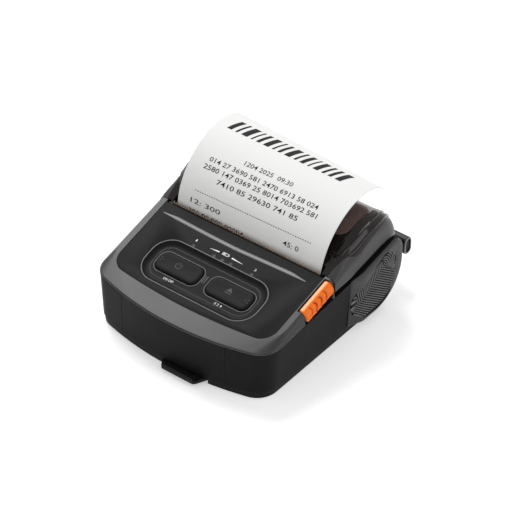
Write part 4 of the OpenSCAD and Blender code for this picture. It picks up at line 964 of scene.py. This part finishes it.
marks = {"high": 1.25, "off": 0.03,
         "rows": [("1", -18.2, -17.6, -14.4), ("3", 14.7, 15.5, -14.7), ("ON OFF", -18.0, -12.6, -38.4),
                  ("0 2 4", 10.3, 14.3, -38.2)],
         "battery": {"at": (-1.8, -14.3), "size": (3.4, 1.5), "line": 0.26, "tip": (0.35, 0.7), "fill": (0.5, 0.45)},
         "wedges": [((-10.0, -15.0), (-5.1, -14.5), 0.75), ((8.1, -15.0), (1.9, -14.6), 0.75)], "wedgeTip": 0.12,
         "dots": [(-25.4, -29.6), (-25.4, -31.2), (-24.2, -30.4), (23.0, -29.6), (23.0, -31.2), (21.8, -30.4)],
         "dot": {"radius": 0.42, "flat": 0.55, "at": 0.1}}
keySigns = {"off": 0.12, "at": (-0.6, 0.5),
            "power": {"rings": [(1.5, 0.4, 125, 415)],
                      "patches": [[(-0.2, 0.3), (0.2, 0.3), (0.2, 2.1), (-0.2, 2.1)]]},
            "feed": {"rings": [],
                     "patches": [[(-1.7, -0.2), (1.7, -0.2), (0, 1.9), (0, 1.9)],
                                 [(-1.7, -1.3), (1.7, -1.3), (1.7, -0.8), (-1.7, -0.8)]]}}


def flatPatch(corners, height):
    (ax, ay), (bx, by), (cx, cy), (dx, dy) = corners
    return placedGrid("patch", 1, 1, lambda s, t: ((ax + (bx - ax) * s) * (1 - t) + (dx + (cx - dx) * s) * t,
                                                   (ay + (by - ay) * s) * (1 - t) + (dy + (cy - dy) * s) * t, height))


def flatBox(left, low, right, high, height):
    return flatPatch([(left, low), (right, low), (right, high), (left, high)], height)


def makeLabels():
    off = marks["off"]
    pieces = [numberRow(*row, marks["high"], lambda u, w: Vector((u, w, off))) for row in marks["rows"]]
    sign = marks["battery"]
    (x, v), line, tip, (fillX, fillV) = sign["at"], sign["line"], sign["tip"], sign["fill"]
    w, h = sign["size"][0] / 2, sign["size"][1] / 2
    pieces += [flatBox(x - w, v - h, x + w, v - h + line, off), flatBox(x - w, v + h - line, x + w, v + h, off),
               flatBox(x - w, v - h, x - w + line, v + h, off), flatBox(x + w - line, v - h, x + w, v + h, off),
               flatBox(x + w, v - tip[1] / 2, x + w + tip[0], v + tip[1] / 2, off),
               flatBox(x - w + fillX, v - h + fillV, x, v + h - fillV, off)]
    for (x0, v0), (x1, v1), thick in marks["wedges"]:
        pieces.append(flatPatch([(x0, v0), (x1, v1 - thick / 2), (x1, v1 + thick / 2), (x0, v0 + marks["wedgeTip"])],
                                off))
    finish(onPanel(joinAll(pieces, "panelLabels")), "labelWhite", "case")


def arcBand(centre, radius, width, start, end, height):
    def place(s, t):
        far, turn = radius + width * (t - 0.5), radians(start + (end - start) * s)
        return centre[0] + far * cos(turn), centre[1] + far * sin(turn), height
    return placedGrid("band", 24, 1, place)


def makeKeySigns():
    off, (dx, dv) = keySigns["off"], keySigns["at"]
    for name, middle in keys.items():
        x, v = middle + dx, panel["recess"][1] + dv
        pieces = [arcBand((x, v), *ring, off) for ring in keySigns[name]["rings"]]
        pieces += [flatPatch([(x + u, v + w) for u, w in patch], off) for patch in keySigns[name]["patches"]]
        finish(onPanel(joinAll(pieces, name + "Sign")), "signGrey", name + "_key")


def makeDots():
    look, pieces = marks["dot"], {"power": [], "feed": []}
    for x, v in marks["dots"]:
        deselectAll()
        bpy.ops.mesh.primitive_uv_sphere_add(segments=16, ring_count=8, radius=look["radius"] * mm,
                                             location=(x * mm, v * mm, look["at"] * mm), scale=(1, 1, look["flat"]))
        bpy.ops.object.transform_apply(location=True, rotation=False, scale=True)
        pieces["power" if x < 0 else "feed"].append(bpy.context.object)
    for name, dots in pieces.items():
        finish(onPanel(joinAll(dots, name + "Dots")), "signGrey", name + "_key", angle=60)


makePanel()
makeKeys()
makeLabels()
makeKeySigns()
makeDots()
print("panel and keys made")


# Release lever: a flat inner strip and a sloped outer half with three finger ridges

lever = {"low": -22.1, "high": -3.5, "section": [
             (44.95, -4.3), (44.95, -2.0), (44.95, -0.8), (45.05, -0.42), (45.3, -0.2), (45.7, -0.1), (46.3, -0.1),
             (46.9, -0.1), (47.3, -0.16), (47.6, -0.34), (47.9, -0.56), (48.2, -0.8), (48.5, -1.05), (48.8, -1.3),
             (49.1, -1.58), (49.4, -1.88), (49.65, -2.2), (49.85, -2.6), (50.0, -3.1), (50.05, -3.6), (49.95, -4.1),
             (49.6, -4.4), (47.4, -4.4)],
         "middle": (47.5, -2.2), "ends": [0.0, 0.06, 0.2, 0.42, 0.75], "endShrink": (0.24, 0.16), "rows": 110,
         "flatUnder": -4, "stripMargin": 0.5}
grooves = {"between": (-18.6, -8.2), "pitch": 3.45, "bend": 1.5, "bendAt": 48.6, "bendOver": 1.4, "shift": 0.6,
           "fade": 0.5, "from": 47.1, "fadeIn": 0.7, "sharp": 1.6, "deep": 0.9, "darkAbove": 0.45}


def grooveAt(x, y):
    # 0 on a ridge and 1 at the foot of a groove; the grooves bend like chevrons
    bent = y + grooves["bend"] * ((x - grooves["bendAt"]) / grooves["bendOver"]) ** 2 - grooves["shift"]
    low, high = grooves["between"]
    inside = smoothStep((bent - low) / grooves["fade"] + 0.5) * smoothStep((high - bent) / grooves["fade"] + 0.5)
    wave = (1 - abs(sin(pi * (bent - low) / grooves["pitch"]))) ** grooves["sharp"]
    return wave * inside * smoothStep((x - grooves["from"]) / grooves["fadeIn"])


def makeLever():
    section, (mx, mn), ends = lever["section"], lever["middle"], lever["ends"]
    length, rounding = lever["high"] - lever["low"], lever["ends"][-1]
    inner = [rounding + (length - 2 * rounding) * i / lever["rows"] for i in range(1, lever["rows"])]
    rows = ends + inner + [length - e for e in ends[::-1]]
    count = len(section)

    def place(s, t):
        y = rows[round(t * (len(rows) - 1))]
        x, n = section[round(s * count) % count]
        edge = max(1 - min(y, length - y) / rounding, 0.0) ** 3
        x, n = mx + (x - mx) * (1 - lever["endShrink"][0] * edge), mn + (n - mn) * (1 - lever["endShrink"][1] * edge)
        y += lever["low"]
        if n > lever["flatUnder"]:
            n -= grooves["deep"] * grooveAt(x, y)
        return x, y, panel["z"] + y * tan(radians(panel["tilt"])) + n

    def shade(x, y, z, face):
        # Painted shade: upward faces deep in a groove are drawn dark orange
        if grooveAt(x, y) > grooves["darkAbove"] and face.normal.z > 0.1:
            return 1
        # Painted highlight: upward faces of the flat inner strip are drawn pale orange
        inStrip = min(y - lever["low"], lever["high"] - y) > lever["stripMargin"]
        return 2 if x < grooves["from"] and face.normal.z > 0.5 and inStrip else 0
    obj = placedGrid("releaseLever", count, len(rows) - 1, place, closed=True, capped=True)
    paintFaces(obj, ("leverOrange", "leverDeep", "leverPale"), shade)
    finish(obj, None, "latch", replaced=("release_lever",), angle=50)


makeLever()
print("lever made")


# Strap bar: an oval rod with a rim and a hollow at each end, the rim drawn light grey as a painted highlight

bar = {"y": 57.1, "z": 19.6, "tall": 9.0, "deep": 5.4, "rimFrom": 45.65,
       "end": [(0.0, 30.0), (0.0, 45.3), (0.12, 45.75), (0.4, 46.0), (0.75, 46.0), (0.95, 45.8), (1.0, 45.0),
               (1.7, 44.7)]}


def makeBar():
    # Rings drawn flat from one end to the other, then laid along X
    profile = [(inset, -x) for inset, x in bar["end"][::-1]] + bar["end"]
    obj = pillRings("strapBar", (bar["deep"], bar["tall"]), bar["deep"] / 2, (bar["y"], bar["z"]), profile)
    for vertex in obj.data.vertices:
        vertex.co = (vertex.co.z, vertex.co.x, vertex.co.y)
    obj.data.update()
    # Painted highlight: the rim faces near each end are drawn light grey
    paintFaces(obj, ("barBlack", "barRim"),
               lambda x, y, z, face: abs(x) > bar["rimFrom"] and len(face.vertices) == 4)
    finish(obj, None, "case", replaced=("strap_bar",), angle=40)


makeBar()
print("strap bar made")


# Floor, backdrop and lights

def whenSeen(tree):
    # 1 for what the camera sees directly, in a reflection or through glass
    path = newNode(tree, "LightPath", {})
    seen = mathNode(tree, "MAXIMUM", path["Is Camera Ray"], path["Is Glossy Ray"])
    return mathNode(tree, "MAXIMUM", seen, path["Is Transmission Ray"])


stage = {"pale": 0.88, "rough": 0.7, "specular": 0.2, "glow": 0.38, "size": 8, "world": 0.48, "worldSeen": 0.52}


def makeStage():
    material, tree, shader = newMaterial("paleFloor")
    feed(tree, shader, {"Base Color": [stage["pale"]] * 3 + [1], "Roughness": stage["rough"],
                        "Specular IOR Level": stage["specular"], "Emission Color": (1, 1, 1, 1),
                        "Emission Strength": mathNode(tree, "MULTIPLY", whenSeen(tree), stage["glow"])})
    deselectAll()
    bpy.ops.mesh.primitive_plane_add(size=stage["size"], location=(0, 0, 0))
    floor = added("floor")
    floor.data.materials.append(material)


def whiteWorld():
    world = bpy.data.worlds.new("studio")
    scene.world = world
    world.use_nodes = True
    tree = world.node_tree
    seen = mathNode(tree, "MULTIPLY", whenSeen(tree), stage["worldSeen"])
    feed(tree, tree.nodes["Background"].inputs, {"Color": (1, 1, 1, 1),
                                                 "Strength": mathNode(tree, "ADD", seen, stage["world"])})


lamps = {
    "topLeft": {"from": (-0.9, 0.5, 1.3), "size": 0.8, "power": 19},
    "front": {"from": (0.3, -1.5, 0.9), "size": 1.0, "power": 4.5},
    "right": {"from": (1.4, 0.3, 0.8), "size": 0.8, "power": 5.5},
}


def makeLamps():
    for name, lamp in lamps.items():
        bpy.ops.object.light_add(type="AREA", location=lamp["from"])
        obj = added(name)
        obj.data.size = lamp["size"]
        obj.data.energy = lamp["power"]
        obj.rotation_euler = (Vector((0, 0, 0.02)) - Vector(lamp["from"])).to_track_quat("-Z", "Y").to_euler()


makeStage()
whiteWorld()
makeLamps()
scene.view_settings.view_transform = "Standard"
print("stage and lights ready")
